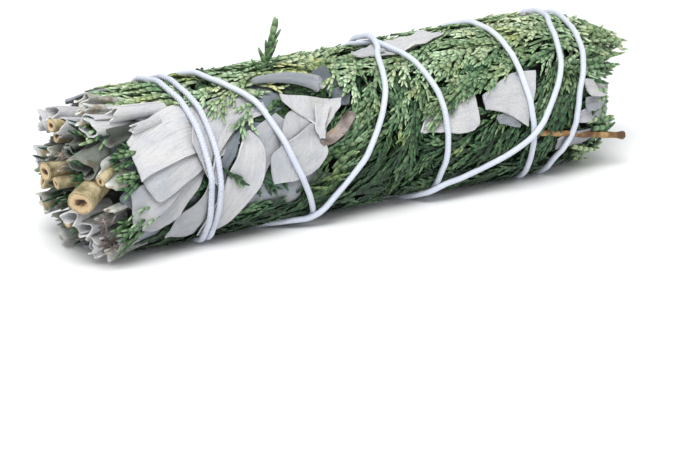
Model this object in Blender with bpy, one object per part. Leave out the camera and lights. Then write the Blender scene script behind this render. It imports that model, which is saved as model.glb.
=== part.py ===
"""A tied bunch of dried white sage and cedar, lying on a surface.

The bunch lies along X: its cut stems are at -X and its leafy tips at +X. The origin is on the surface that
it rests on, under the middle of the bunch. A place on the bunch is given by two numbers: how far along
it is, in millimetres from the middle, and the angle round the axis, in degrees: 0 faces -Y, 90 is the
top, 180 faces +Y and -90 is the underside. Every piece is laid over what is already there, and clear of it.
"""

import math
import random

import bmesh
import bpy
import numpy as np
from mathutils import Matrix, Vector
from mathutils.bvhtree import BVHTree

MM = 0.001

# The body of the bunch
AXIS_HEIGHT = 13.5 * MM
BODY_START = -54.0
BODY_END = 47.0
BODY_PROFILE = ((-54, 12.3), (-48, 13.2), (-22, 12.9), (-4, 12.3), (16, 11.8), (40, 11.5), (47, 11.0))
BODY_SIDES = 20
WRAP_RADIUS = 15.0
PRESSED_DEPTH = 3.0

# Leaves and sprays
LEAF_THICKNESS = 1.7
LEAF_STEP_UP = 0.66
LEAF_EDGE_LIFT = 0.25
LEAF_CELLS = (4, 2)
LEAF_REACH = 1.9
LEAF_SKEW = 0.05
LOOSE_LEAF_CELLS = (5, 3)
LOOSE_LEAF_THICKNESS = 0.62
TWIG_SIZE = 0.45
TWIG_SPACING = 2.3
TWIG_REACH = 1.3
TWIG_STEEPEST = 0.45
SHOOT_STEEPEST = 0.25
SHORTEST_SHOOT = 2.2
SHOOT_SPREAD = 48.0
SHOOT_SPREAD_FALL = 8.0
SHOOT_CLOSING = 0.72
CLEARANCE = 0.36
SEED = 7

# Cotton string
STRING_RADIUS = 0.58
STRING_GAP = 0.32
STRING_STEP = 3.9
STRING_SIDES = 5
STRING_REACH = 0.9
STRING_CROSSING_GAP = 0.25
STRING_CROSSING_REACH = 1.2
STRING_SKIP = 24
STRING_PULLS = 250
CHANNEL_BELOW = 2.2
FLOOR_GAP = 0.06

# (along, angle) of the string, from the knot round the bunch and back; the angle falls by 360 each turn.
STRING_ROUTE = (
    (-39.6, 180), (-39.5, 130), (-38.4, 80), (-37.2, 50), (-36.2, 10), (-35.6, -43), (-35.7, -120),
    (-36.2, -200), (-36.0, -280), (-34.9, -312), (-34.3, -350), (-34.1, -407), (-33.4, -480), (-32.4, -570),
    (-29.6, -636),
    (-24.8, -664), (-21.8, -690), (-18.7, -718), (-13.4, -760), (-10.5, -800), (-4.5, -860), (2.6, -930),
    (7.6, -990), (10.4, -1013), (12.9, -1047), (13.8, -1083), (13.4, -1112), (14.8, -1150), (18.5, -1210),
    (24.8, -1280), (30.2, -1345), (31.5, -1385), (32.3, -1420), (33.5, -1455), (35.2, -1500), (39.0, -1555),
    (46.0, -1610), (49.8, -1665), (50.0, -1712), (47.8, -1755), (44.6, -1784), (42.8, -1815), (40.2, -1840),
    (40.6, -1890), (42.5, -1950), (45.6, -2010), (47.0, -2065), (44.2, -2091), (41.0, -2126), (35.2, -2155),
    (28.0, -2177), (18.8, -2191), (14.0, -2195), (10.0, -2209), (8.4, -2240), (8.2, -2310), (6.6, -2425),
    (4.6, -2450), (1.6, -2484), (-4.6, -2523), (-13.2, -2560), (-18.5, -2570), (-24.0, -2592), (-28.5, -2630),
    (-33.5, -2668), (-39.6, -2700),
)
STRING_TAILS = (
    ((-39.6, 180), (-41.5, 174), (-44.5, 169), (-47.5, 167)),
    ((-39.6, 180), (-41.2, 187), (-43.2, 192), (-46.2, 194)),
)
KNOT_SIZE = 1.5
TAIL_FALL = 0.9

# Outer sage leaves that grow out of the body: start and end as (along, angle), width, how much of a whole
# leaf is there (0 is the stalk end and 1 the tip, so a cut leaf starts late or stops early), sideways bow.
FRONT_LEAVES = (
    ((-53, -48), (-30, -44), 9, (0.30, 0.97), 1.0),
    ((-54, -14), (-34, 4), 8, (0.30, 0.97), -1.2),
    ((-52, -30), (-31, -18), 8, (0.30, 0.95), -1.5),
    ((-52, 7), (-30, 28), 10, (0.28, 0.97), -0.8),
    ((-52, 60), (-40, 57), 6.5, (0.35, 0.80), 0.0),
    ((-52, 27), (-26, 56), 12.5, (0.26, 0.97), 0.0),
    ((-34, -38), (-23, 45), 10, (0.05, 0.97), 2.0),
    ((-24, 40), (-15, -8), 10, (0.10, 0.80), 1.0),
    ((-33, -26), (-27, 30), 8.5, (0.10, 0.99), -1.0),
    ((-10, 24), (-24, -12), 11, (0.20, 0.86), 0.6),
    ((-10, 60), (-3, 34), 8, (0.15, 0.97), 0.0),
    ((-6, -52), (22, -50), 11, (0.06, 0.96), 0.0),
    ((-8, -14), (20, -24), 12, (0.08, 0.96), 0.0),
    ((-4, 16), (26, 10), 11, (0.06, 0.96), 0.8),
    ((-6, 56), (22, 46), 12, (0.06, 0.96), 0.0),
    ((16, 74), (44, 70), 11, (0.06, 0.96), 0.0),
    ((20, 34), (47, 40), 12, (0.06, 0.96), 0.0),
    ((20, -40), (46, -46), 11, (0.06, 0.96), 0.0),
    ((-50, 86), (-22, 84), 11, (0.20, 0.96), 0.0),
    ((-24, 82), (2, 86), 11, (0.06, 0.96), 0.0),
    ((36, 14), (54, 10), 8, (0.15, 0.90), 0.0),
    ((38, -10), (55, -6), 8, (0.15, 0.92), 0.8),
    ((36, -30), (52, -27), 8, (0.10, 0.95), 0.0),
)
# The lowest leaves, which are pressed flat by the weight of the bunch
REST_LEAVES = (
    ((-47, -93), (-17, -88), 12, (0.10, 0.96), 0.0),
    ((-16, -88), (15, -92), 13, (0.10, 0.96), 0.0),
    ((12, -92), (42, -89), 12, (0.10, 0.96), 0.0),
)
REST_LEAF_RISE = 1.9
# The same for the leaves that lie loose on the sprays; the last number lifts the edges.
LOOSE_LEAVES = (
    ("leaf_by_first_crossing", (-20.0, 47), (-8.0, 34), 6.5, (0.22, 0.92), 0.8, 0.6),
    ("leaf_rolled_near_top", (-24, 66), (-9, 55), 5.5, (0.12, 0.92), 0.6, 0.7),
    ("leaf_on_top", (-2, 82), (18, 88), 9.0, (0.06, 0.97), -0.6, 0.2),
    ("leaf_in_middle", (5, 3), (23, 12), 9.5, (0.08, 0.80), -0.8, 0.2),
    ("leaf_by_last_crossing", (21, 24), (36, 19), 11.0, (0.18, 0.86), 0.5, 0.2),
    ("leaf_back_left", (-30, 168), (-10, 152), 11.0, (0.06, 0.98), 0.7, 0.3),
    ("leaf_back_middle", (-4, 196), (16, 178), 11.5, (0.06, 0.98), -0.8, 0.3),
    ("leaf_back_right", (38, 160), (18, 150), 10.0, (0.06, 0.98), 0.6, 0.3),
    ("leaf_top_right", (28, 104), (45, 97), 8.0, (0.10, 0.98), 0.0, 0.3),
)
# Sprays: name, root and tip as (along, angle), width and sideways bow
SPRAYS = (
    ("spray_front_low", (-28, -40), (2, 44), 15.0, -6.0),
    ("spray_lower_right", (44, -14), (9, -30), 12.0, 1.0),
    ("spray_middle", (3, -42), (7, 54), 15.0, -1.0),
    ("spray_top_left", (-30, 70), (-50, 76), 9.0, 0.5),
    ("spray_over_first_leaf", (-20, 78), (-34, 46), 9.0, -0.8),
    ("spray_by_first_crossing", (-6, 82), (-9, 40), 8.0, 0.8),
    ("spray_top_middle", (-32, 94), (-4, 80), 11.0, 1.0),
    ("spray_upper_right", (45, 60), (10, 22), 14.0, -2.2),
    ("spray_top_right", (14, 98), (48, 80), 12.0, 0.8),
    ("spray_above_middle", (34, 84), (8, 58), 11.0, 1.0),
    ("spray_end_front", (36, 34), (60, 40), 11.0, -0.6),
    ("spray_end_top", (42, 98), (60, 80), 10.0, 0.6),
    ("spray_band_right", (47, 46), (37, -18), 9.0, 0.8),
    ("spray_back_left", (-48, 142), (-16, 126), 11.0, 0.8),
    ("spray_back_middle", (-24, 208), (6, 218), 11.0, -0.8),
    ("spray_back_right", (20, 218), (50, 196), 11.0, 0.8),
    ("spray_back_end", (34, 140), (58, 148), 10.0, 0.5),
    ("spray_back_top", (-6, 126), (22, 118), 11.0, 0.6),
)
# The shoot that stands up: which spray it is on, at which pair of side shoots, and how high it is
UPRIGHT_SHOOT_SPRAY = "spray_top_middle"
UPRIGHT_SHOOT_PLACE = 6
UPRIGHT_SHOOT_HEIGHT = 8.5

# The order in which the loose leaves and sprays are laid, so that each lies over the ones before it
LAYING_ORDER = (
    "spray_back_left", "spray_back_middle", "spray_back_right", "spray_back_top", "spray_back_end",
    "spray_end_top", "spray_end_front", "spray_band_right", "spray_lower_right", "spray_middle",
    "leaf_in_middle", "spray_top_right", "spray_above_middle", "spray_top_left", "spray_top_middle",
    "leaf_on_top", "spray_upper_right", "leaf_by_last_crossing", "spray_front_low",
    "leaf_rolled_near_top", "leaf_by_first_crossing", "spray_by_first_crossing", "spray_over_first_leaf",
    "leaf_back_left", "leaf_back_middle", "leaf_back_right", "leaf_top_right",
)

# Leaves rolled up at the cut end: how far along and from the axis the mouth is, its angle, radius, how far
# round it is rolled and where the roll starts.
BUTT_ROLLS = (
    ((-60.0, 12.8), 62, 2.4, 420, 20),
    ((-58.5, 13.4), 38, 2.0, 400, 80),
    ((-60.0, 12.2), 86, 2.3, 430, 150),
    ((-59.0, 12.6), 110, 2.3, 400, 200),
    ((-58.5, 12.8), 134, 2.2, 420, 60),
    ((-59.5, 12.8), 162, 2.4, 400, 300),
    ((-59.0, 12.4), 194, 2.3, 410, 10),
    ((-58.5, 11.6), 226, 2.2, 400, 90),
    ((-59.5, 10.6), 262, 2.0, 410, 30),
    ((-59.5, 12.2), -56, 2.2, 420, 220),
    ((-59.0, 13.0), -32, 2.3, 400, 130),
    ((-58.0, 13.2), 14, 2.1, 420, 250),
    ((-60.8, 8.0), 96, 2.3, 420, 0),
    ((-60.0, 7.6), 136, 2.0, 400, 70),
    ((-60.5, 7.4), -52, 2.1, 420, 180),
    ((-60.0, 8.0), 240, 2.1, 420, 120),
    ((-60.2, 7.6), 180, 2.0, 400, 20),
)
UNDER_LEAF_ROWS = (-53, -25, 3, 20)
UNDER_LEAVES_ROUND = 7
# The front and top have no leaves by rule: they are placed one by one
BARE_FROM, BARE_TO = -62, 84

# Cut woody stems: name, centre of the cut face (x, y, z above the axis), a point inside, radius.
STEMS = (
    ("stem_thick", (-62.8, -9.6, 1.6), (-44.0, -4.6, 5.0), 2.1),
    ("stem_left", (-61.5, -2.9, 3.2), (-40.0, -1.8, 1.6), 1.5),
    ("stem_upper", (-60.2, -3.4, 10.9), (-44.0, -3.2, 8.6), 1.1),
    ("stem_lower", (-58.6, -3.0, -6.4), (-40.0, -3.0, -5.4), 1.3),
    ("stem_back", (-59.0, 5.6, -1.4), (-40.0, 4.2, -1.4), 1.5),
    ("stem_back_upper", (-58.4, 5.0, 6.6), (-42.0, 4.8, 5.0), 1.2),
    ("stem_back_lower", (-58.0, 8.4, -7.2), (-42.0, 7.0, -6.0), 1.1),
)
STEM_HOLE_GAP = 0.35
STEM_SIDES = 8
TWIG_AT_TIP = ((60.5, -11.6, -6.4), (30.0, -5.6, -3.0), 0.75)

SAGE_COLOUR = (0.47, 0.48, 0.50, 1.0)
CEDAR_COLOUR = (0.13, 0.19, 0.08, 1.0)
WOOD_COLOUR = (0.42, 0.29, 0.15, 1.0)
STRING_COLOUR = (0.86, 0.86, 0.88, 1.0)


def clear_scene():
    for obj in list(bpy.data.objects):
        bpy.data.objects.remove(obj, do_unlink=True)


def make_material(name, colour, roughness):
    material = bpy.data.materials.new(name)
    material.use_nodes = True
    shader = material.node_tree.nodes["Principled BSDF"]
    shader.inputs["Base Color"].default_value = colour
    shader.inputs["Roughness"].default_value = roughness
    shader.inputs["Metallic"].default_value = 0.0
    return material


def body_radius(along):
    """Radius of the packed body under the outer leaves, in millimetres."""
    xs, rs = zip(*BODY_PROFILE)
    return float(np.interp(along, xs, rs))


def on_bunch(along, angle, radius):
    """A point in metres, from millimetres along, degrees round and millimetres from the axis."""
    turn = math.radians(angle)
    y = -radius * math.cos(turn) * MM
    z = AXIS_HEIGHT + radius * math.sin(turn) * MM
    return Vector((along * MM, y, z))


def unrolled(place):
    """(along, angle) as a flat place in millimetres, the angle measured along the wrap."""
    return Vector((place[0], math.radians(place[1]) * WRAP_RADIUS))


def rolled(flat, radius):
    """The point over a flat place at that radius."""
    return on_bunch(flat[0], math.degrees(flat[1] / WRAP_RADIUS), radius)


class Relief:
    """The largest radius that the pieces reach so far, on a grid along and round the bunch."""

    STEP = 0.5
    ANGLE_STEP = 2.0
    HALF_LENGTH = 66.0
    START_RADIUS = 60.0

    def __init__(self):
        self.columns = int(2 * self.HALF_LENGTH / self.STEP) + 1
        self.rows = int(360 / self.ANGLE_STEP)
        self.radius = np.zeros((self.columns, self.rows))

    def add(self, obj):
        """Raises the relief to the surface of a finished object."""
        tree = BVHTree.FromObject(obj, bpy.context.evaluated_depsgraph_get())
        reach = [(obj.matrix_world @ Vector(c)).x / MM for c in obj.bound_box]
        first = max(0, int((min(reach) + self.HALF_LENGTH) / self.STEP))
        last = min(self.columns - 1, int((max(reach) + self.HALF_LENGTH) / self.STEP) + 1)
        for i in range(first, last + 1):
            along = i * self.STEP - self.HALF_LENGTH
            for j in range(self.rows):
                outside = on_bunch(along, j * self.ANGLE_STEP, self.START_RADIUS)
                axis = Vector((outside.x, 0.0, AXIS_HEIGHT))
                hit = tree.ray_cast(outside, (axis - outside).normalized(), self.START_RADIUS * MM)
                if hit[0] is not None:
                    found = (hit[0] - axis).length / MM
                    self.radius[i, j] = max(self.radius[i, j], found)

    def top(self, flat, reach):
        """The largest radius within reach of a flat place, in millimetres."""
        angle = math.degrees(flat[1] / WRAP_RADIUS)
        i = (flat[0] + self.HALF_LENGTH) / self.STEP
        j = angle / self.ANGLE_STEP
        wide = max(1, round(reach / self.STEP))
        tall = max(1, round(math.degrees(reach / WRAP_RADIUS) / self.ANGLE_STEP))
        low = max(0, round(i) - wide)
        high = min(self.columns - 1, round(i) + wide)
        if high < low:
            return 0.0
        rows = [(round(j) + k) % self.rows for k in range(-tall, tall + 1)]
        return float(self.radius[low : high + 1, rows].max())


def mesh_object(name, bm, material):
    """A new object in the scene from a bmesh, which is freed."""
    bmesh.ops.recalc_face_normals(bm, faces=bm.faces)
    mesh = bpy.data.meshes.new(name)
    bm.to_mesh(mesh)
    bm.free()
    mesh.materials.append(material)
    obj = bpy.data.objects.new(name, mesh)
    bpy.context.scene.collection.objects.link(obj)
    return obj


def apply_modifiers(obj):
    """Replaces the object's mesh by what its modifiers make of it."""
    graph = bpy.context.evaluated_depsgraph_get()
    graph.update()
    made = bpy.data.meshes.new_from_object(obj.evaluated_get(graph))
    old = obj.data
    obj.modifiers.clear()
    obj.data = made
    bpy.data.meshes.remove(old)


def combine(obj, others, operation):
    """One Boolean between an object and several others, which are removed afterwards."""
    group = bpy.data.collections.new(f"{obj.name}_{operation.lower()}")
    bpy.context.scene.collection.children.link(group)
    for other in others:
        group.objects.link(other)
        bpy.context.scene.collection.objects.unlink(other)
    modifier = obj.modifiers.new(operation.title(), "BOOLEAN")
    modifier.operation = operation
    modifier.solver = "EXACT"
    modifier.operand_type = "COLLECTION"
    modifier.collection = group
    apply_modifiers(obj)
    for other in others:
        bpy.data.objects.remove(other, do_unlink=True)
    bpy.data.collections.remove(group)


def keep_outer_body(obj):
    """Fills hollows that fusing has sealed and drops loose scraps, also where they touch at an edge."""
    bm = bmesh.new()
    bm.from_mesh(obj.data)
    bmesh.ops.triangulate(bm, faces=bm.faces)
    left = set(bm.faces)
    bodies = []
    while left:
        body = {left.pop()}
        front = list(body)
        while front:
            face = front.pop()
            for edge in face.edges:
                for near in edge.link_faces:
                    if near in left and len(edge.link_faces) == 2:
                        left.remove(near)
                        body.add(near)
                        front.append(near)
        volume = sum(f.verts[0].co.dot(f.verts[1].co.cross(f.verts[2].co)) for f in body) / 6
        bodies.append((volume, body))
    largest = max(bodies, key=lambda entry: entry[0])[1]
    scraps = [face for _, body in bodies if body is not largest for face in body]
    bmesh.ops.delete(bm, geom=scraps, context="FACES")
    bmesh.ops.dissolve_degenerate(bm, edges=bm.edges, dist=1e-6)
    bm.to_mesh(obj.data)
    bm.free()


def leaf_outline(share):
    """Half width of a sage leaf, as a share of its widest, from its stalk (0) to its tip (1)."""
    return max(0.10, math.sin(math.pi * share**0.9) ** 0.62)


def leaf_blade(name, shape, relief, rise, thickness, material, edge_lift=0.0, cells=LEAF_CELLS):
    """A leaf laid over the relief: a grid bent round the bunch, then given its thickness inwards."""
    start, end, width, part, bow = shape
    along_cells, across_cells = cells
    flat_start = unrolled(start)
    way = unrolled(end) - flat_start
    side = Vector((-way.y, way.x)).normalized()
    bm = bmesh.new()
    bmesh.ops.create_grid(bm, x_segments=along_cells, y_segments=across_cells, size=1.0)
    places = {}
    for vert in bm.verts:
        s = (vert.co.x + 1) / 2
        t = vert.co.y
        half = leaf_outline(part[0] + (part[1] - part[0]) * s) * width / 2
        ragged = LEAF_SKEW * t * (1 - 2 * s)
        flat = flat_start + way * (s + ragged) + side * (t * half + bow * 4 * s * (1 - s))
        places[vert.index] = (flat, s, t, relief.top(flat, LEAF_REACH))
    bm.verts.ensure_lookup_table()
    heights = {i: entry[3] for i, entry in places.items()}
    for _ in range(2):
        smooth = {}
        for vert in bm.verts:
            near = [heights[e.other_vert(vert).index] for e in vert.link_edges]
            mean = (sum(near) + heights[vert.index]) / (len(near) + 1)
            smooth[vert.index] = max(places[vert.index][3], mean)
        heights = smooth
    for vert in bm.verts:
        flat, s, t, _ = places[vert.index]
        lift = edge_lift * t * t + 0.25 * edge_lift * (2 * s - 1) ** 2
        vert.co = rolled(flat, heights[vert.index] + rise + lift)
    leaf = mesh_object(name, bm, material)
    # The grid's faces have to look outwards before the thickness goes inwards.
    normal = leaf.data.polygons[len(leaf.data.polygons) // 2].normal
    centre = leaf.data.polygons[len(leaf.data.polygons) // 2].center
    if normal.dot(centre - Vector((centre.x, 0.0, AXIS_HEIGHT))) < 0:
        leaf.data.flip_normals()
    solid = leaf.modifiers.new("Thickness", "SOLIDIFY")
    solid.thickness = thickness * MM
    solid.offset = -1.0
    apply_modifiers(leaf)
    return leaf


def body_solid(material):
    """The packed middle of the bunch: a turned body with domed ends."""
    bm = bmesh.new()
    stations = np.linspace(BODY_START, BODY_END, 9)
    rings = [(BODY_START - 1.5, 0.62)] + [(x, 1.0) for x in stations] + [(BODY_END + 1.5, 0.62)]
    previous = None
    for along, share in rings:
        radius = body_radius(along) * share
        ring = [bm.verts.new(on_bunch(along, 360 * k / BODY_SIDES, radius)) for k in range(BODY_SIDES)]
        if previous is None:
            bm.faces.new(ring)
        else:
            for k in range(BODY_SIDES):
                n = (k + 1) % BODY_SIDES
                bm.faces.new((previous[k], previous[n], ring[n], ring[k]))
        previous = ring
    bm.faces.new(previous)
    return mesh_object("sage_leaves", bm, material)


def rolled_leaf(name, mouth, inside, radius, turn, start_angle, material):
    """A leaf rolled up along its length and cut across at its mouth: a strip wound in a spiral."""
    steps = 6
    bm = bmesh.new()
    mouth = Vector(mouth) * MM
    inside = Vector(inside) * MM
    along = (inside - mouth).normalized()
    side = along.cross(Vector((0, 0, 1))).normalized()
    up = side.cross(along)
    for end, share in ((mouth, 1.0), (inside, 0.8)):
        for k in range(steps + 1):
            angle = math.radians(start_angle + turn * k / steps)
            r = radius * share * (1 - 0.33 * k / steps) * MM
            slant = 0.5 * MM * math.sin(angle * 1.3) if end is mouth else 0.0
            bm.verts.new(end + side * (r * math.cos(angle)) + up * (r * math.sin(angle)) + along * slant)
    bm.verts.ensure_lookup_table()
    for k in range(steps):
        a, b = bm.verts[k], bm.verts[k + 1]
        c, d = bm.verts[steps + 2 + k], bm.verts[steps + 1 + k]
        bm.faces.new((a, b, c, d))
    roll = mesh_object(name, bm, material)
    solid = roll.modifiers.new("Thickness", "SOLIDIFY")
    solid.thickness = 0.6 * MM
    solid.offset = 0.0
    apply_modifiers(roll)
    return roll


def rod(name, face, inside, radius, material):
    """A straight stem from its cut face to a point inside."""
    face = Vector(face) * MM + Vector((0, 0, AXIS_HEIGHT))
    inside = Vector(inside) * MM + Vector((0, 0, AXIS_HEIGHT))
    length = (inside - face).length
    bm = bmesh.new()
    r = radius * MM
    bmesh.ops.create_cone(bm, cap_ends=True, segments=STEM_SIDES, radius1=r, radius2=r, depth=length)
    turn = (inside - face).to_track_quat("Z", "Y").to_matrix().to_4x4()
    bmesh.ops.transform(bm, matrix=Matrix.Translation((face + inside) / 2) @ turn, verts=bm.verts)
    return mesh_object(name, bm, material)


def cutter_box(name, centre, size):
    bm = bmesh.new()
    bmesh.ops.create_cube(bm, size=1.0)
    scale = Matrix.Diagonal((*(Vector(size) * MM), 1.0))
    bmesh.ops.transform(bm, matrix=Matrix.Translation(Vector(centre) * MM) @ scale, verts=bm.verts)
    return mesh_object(name, bm, bpy.data.materials["sage"])


def spline_through(points, step):
    """Flat or round places on a smooth curve through the given ones, about a step apart."""
    keys = [Vector(p) for p in points]
    keys = [keys[0] * 2 - keys[1]] + keys + [keys[-1] * 2 - keys[-2]]
    dense = []
    for i in range(1, len(keys) - 2):
        before, here, there, after = keys[i - 1 : i + 3]
        for k in range(12):
            t = k / 12
            first = (there - before) * t
            second = (2 * before - 5 * here + 4 * there - after) * t**2
            third = (3 * here - before - 3 * there + after) * t**3
            dense.append(here + (first + second + third) / 2)
    dense.append(keys[-2])
    lengths = [0.0]
    for a, b in zip(dense, dense[1:]):
        lengths.append(lengths[-1] + (b - a).length)
    count = max(2, round(lengths[-1] / step) + 1)
    wanted = np.linspace(0, lengths[-1], count)
    columns = [np.interp(wanted, lengths, [p[k] for p in dense]) for k in range(2)]
    return [Vector(pair) for pair in zip(*columns)]


def lay_over(relief, line, size, gap):
    """Radius at each flat place of a thin shoot, so that it rests on the relief and bends gently."""
    need = [max(relief.top(p, TWIG_REACH), body_radius(p[0]) - 1.0) + gap + size for p in line]
    wide = [max(need[max(0, i - 1) : i + 2]) for i in range(len(need))]
    for _ in range(3):
        for order in (range(1, len(wide)), range(len(wide) - 2, -1, -1)):
            step = -1 if order.step == 1 else 1
            for i in order:
                run = (line[i] - line[i + step]).length
                wide[i] = max(wide[i], wide[i + step] - TWIG_STEEPEST * run)
    return wide


def ring_at(bm, point, ahead, size, wide=1.0):
    """Four points round a place on a shoot: left and right above, then right and left below."""
    out = (point - Vector((point.x, 0, AXIS_HEIGHT))).normalized()
    across = ahead.cross(out).normalized() * size * wide * MM
    up = across.cross(ahead).normalized() * size * MM
    corners = (point - across + up, point + across + up, point + across - up, point - across - up)
    return [bm.verts.new(corner) for corner in corners]


def join_rings(bm, first, second):
    """The four walls between two rings."""
    order = ((0, 1), (1, 2), (2, 3), (3, 0))
    return [bm.faces.new((first[k], first[n], second[n], second[k])) for k, n in order]


def side_shoot(bm, root, line, heights, size):
    """A side shoot drawn out of the stalk's own wall: narrowed beyond its root, and run out to a point."""
    places = [rolled(p, r) for p, r in zip(line, heights)]
    ahead = (places[1] - places[0]).normalized()
    middle = ring_at(bm, places[1], ahead, size, 0.9)
    far = ring_at(bm, places[2], (places[2] - places[1]).normalized(), size * 0.55, 0.9)
    join_rings(bm, root, middle)
    join_rings(bm, middle, far)
    bm.faces.new(far)


def cedar_spray(name, root, tip, width, bow, relief, material, draw):
    """A flat cedar spray laid over the relief: a slim middle stalk, its shoots paired along both sides."""
    flat_root, flat_tip = unrolled(root), unrolled(tip)
    way = flat_tip - flat_root
    side = Vector((-way.y, way.x)).normalized()
    count = max(3, round(way.length / TWIG_SPACING))
    stalk = [flat_root + way * s + side * (bow * 4 * s * (1 - s)) for s in np.linspace(0, 1, count + 1)]
    heights = lay_over(relief, stalk, TWIG_SIZE, CLEARANCE)
    places = [rolled(p, r) for p, r in zip(stalk, heights)]
    bm = bmesh.new()
    rings = []
    for i, place in enumerate(places):
        ahead = places[min(i + 1, count)] - places[max(i - 1, 0)]
        rings.append(ring_at(bm, place, ahead.normalized(), TWIG_SIZE * (1.0 - 0.4 * i / count)))
    bm.faces.new(rings[0])
    bm.faces.new(rings[-1])
    for i, (near, next_ring) in enumerate(zip(rings, rings[1:])):
        top = bm.faces.new((near[0], near[1], next_ring[1], next_ring[0]))
        if name == UPRIGHT_SHOOT_SPRAY and i == UPRIGHT_SHOOT_PLACE:
            upright = top
        bm.faces.new((near[2], near[3], next_ring[3], next_ring[2]))
        s = (i + 0.5) / count
        full = width * 0.62 * (0.62 + 0.8 * s if s < 0.5 else 1.9 - 1.76 * s)
        for hand, walls in ((1, (near[0], next_ring[0], next_ring[3], near[3])),
                            (-1, (next_ring[1], near[1], near[2], next_ring[2]))):
            length = full * draw.uniform(0.85, 1.15)
            if i == 0 or length < SHORTEST_SHOOT:
                bm.faces.new(walls)
                continue
            spread = math.radians(SHOOT_SPREAD - SHOOT_SPREAD_FALL * s)
            closed = spread * SHOOT_CLOSING
            start = (stalk[i] + stalk[i + 1]) / 2
            ahead = (stalk[i + 1] - stalk[i]).normalized()
            beside = Vector((-ahead.y, ahead.x)) * hand
            out = ahead * math.cos(spread) + beside * math.sin(spread)
            drawn_in = ahead * math.cos(closed) + beside * math.sin(closed)
            # Nearer to the axis the same turn round it is a shorter way, so the flat line goes further.
            for heading in (out, drawn_in):
                heading.y *= WRAP_RADIUS / heights[i]
            middle = start + out * (length * 0.45)
            line = [start, middle, middle + drawn_in * (length * 0.55)]
            over = lay_over(relief, line, TWIG_SIZE, CLEARANCE)
            over[0] = (heights[i] + heights[i + 1]) / 2
            if abs(over[1] - over[0]) > SHOOT_STEEPEST * length:
                bm.faces.new(walls)
                continue
            side_shoot(bm, walls, line, over, TWIG_SIZE)
    if name == UPRIGHT_SHOOT_SPRAY:
        standing_shoot(bm, upright)
    return mesh_object(name, bm, material)


def drawn_out(bm, face, steps):
    """Draws a face out through steps, each a move and a size, closes the end and gives each stretch's walls."""
    root = list(face.verts)
    centre = sum((v.co for v in root), Vector()) / len(root)
    bm.faces.remove(face)
    stretches = []
    last = root
    for move, size in steps:
        ring = [bm.verts.new(centre + Vector(move) * MM + (v.co - centre) * size) for v in root]
        stretches.append(join_rings(bm, last, ring))
        last = ring
    bm.faces.new(last)
    return stretches


def standing_shoot(bm, face):
    """The shoot that stands up out of a spray's stalk, with its own short side shoots."""
    top = UPRIGHT_SHOOT_HEIGHT
    lean = ((0.5, 0.3, 0.28 * top), (1.1, 0.2, 0.52 * top), (1.7, 0.0, 0.76 * top), (2.0, -0.2, top))
    stretches = drawn_out(bm, face, list(zip(lean, (0.75, 0.7, 0.62, 0.3))))
    for walls, hands in zip(stretches[:3], ((2,), (0, 2), (0,))):
        for k in hands:
            hand = 1 if k == 2 else -1
            drawn_out(bm, walls[k], (((0.9 * hand, 0.1, 0.9), 0.42), ((1.9 * hand, 0.2, 2.2), 0.16)))


def string_path(relief):
    """The string's line in space, pulled tight over everything that it meets, and over itself."""
    keys = [(along, math.radians(angle) * WRAP_RADIUS) for along, angle in STRING_ROUTE]
    line = spline_through(keys, STRING_STEP / 3)
    need = [relief.top(p, STRING_REACH) + STRING_GAP + STRING_RADIUS for p in line]
    girth = 2 * math.pi * WRAP_RADIUS
    apart = 2 * STRING_RADIUS + STRING_CROSSING_REACH
    for i, here in enumerate(line):
        for j in range(max(0, i - STRING_SKIP)):
            across = (here[1] - line[j][1] + girth / 2) % girth - girth / 2
            if math.hypot(here[0] - line[j][0], across) < apart:
                need[i] = max(need[i], need[j] + 2 * STRING_RADIUS + STRING_CROSSING_GAP)
    need = [max(need[max(0, i - 2) : i + 3]) for i in range(len(need))]
    radii = pull_tight(line, need, STRING_PULLS)
    points = [rolled(p, r) for p, r in zip(line, radii)][::3]
    lowest = (STRING_RADIUS + FLOOR_GAP) * MM
    for point in points:
        point.z = max(point.z, lowest)
    return points


def pull_tight(line, need, rounds):
    """Radii of a tight line: straight from one high place to the next, and never under what it needs."""
    turns = np.array([p[1] / WRAP_RADIUS for p in line])
    along = np.array([p[0] for p in line])
    need = np.array(need)
    radii = need.copy()
    for _ in range(rounds):
        y, z = radii * np.cos(turns), radii * np.sin(turns)
        middle_y, middle_z = (y[:-2] + y[2:]) / 2, (z[:-2] + z[2:]) / 2
        pulled = np.hypot(middle_y, middle_z)
        radii[1:-1] = np.maximum(need[1:-1], pulled)
    return [float(r) for r in radii]


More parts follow.
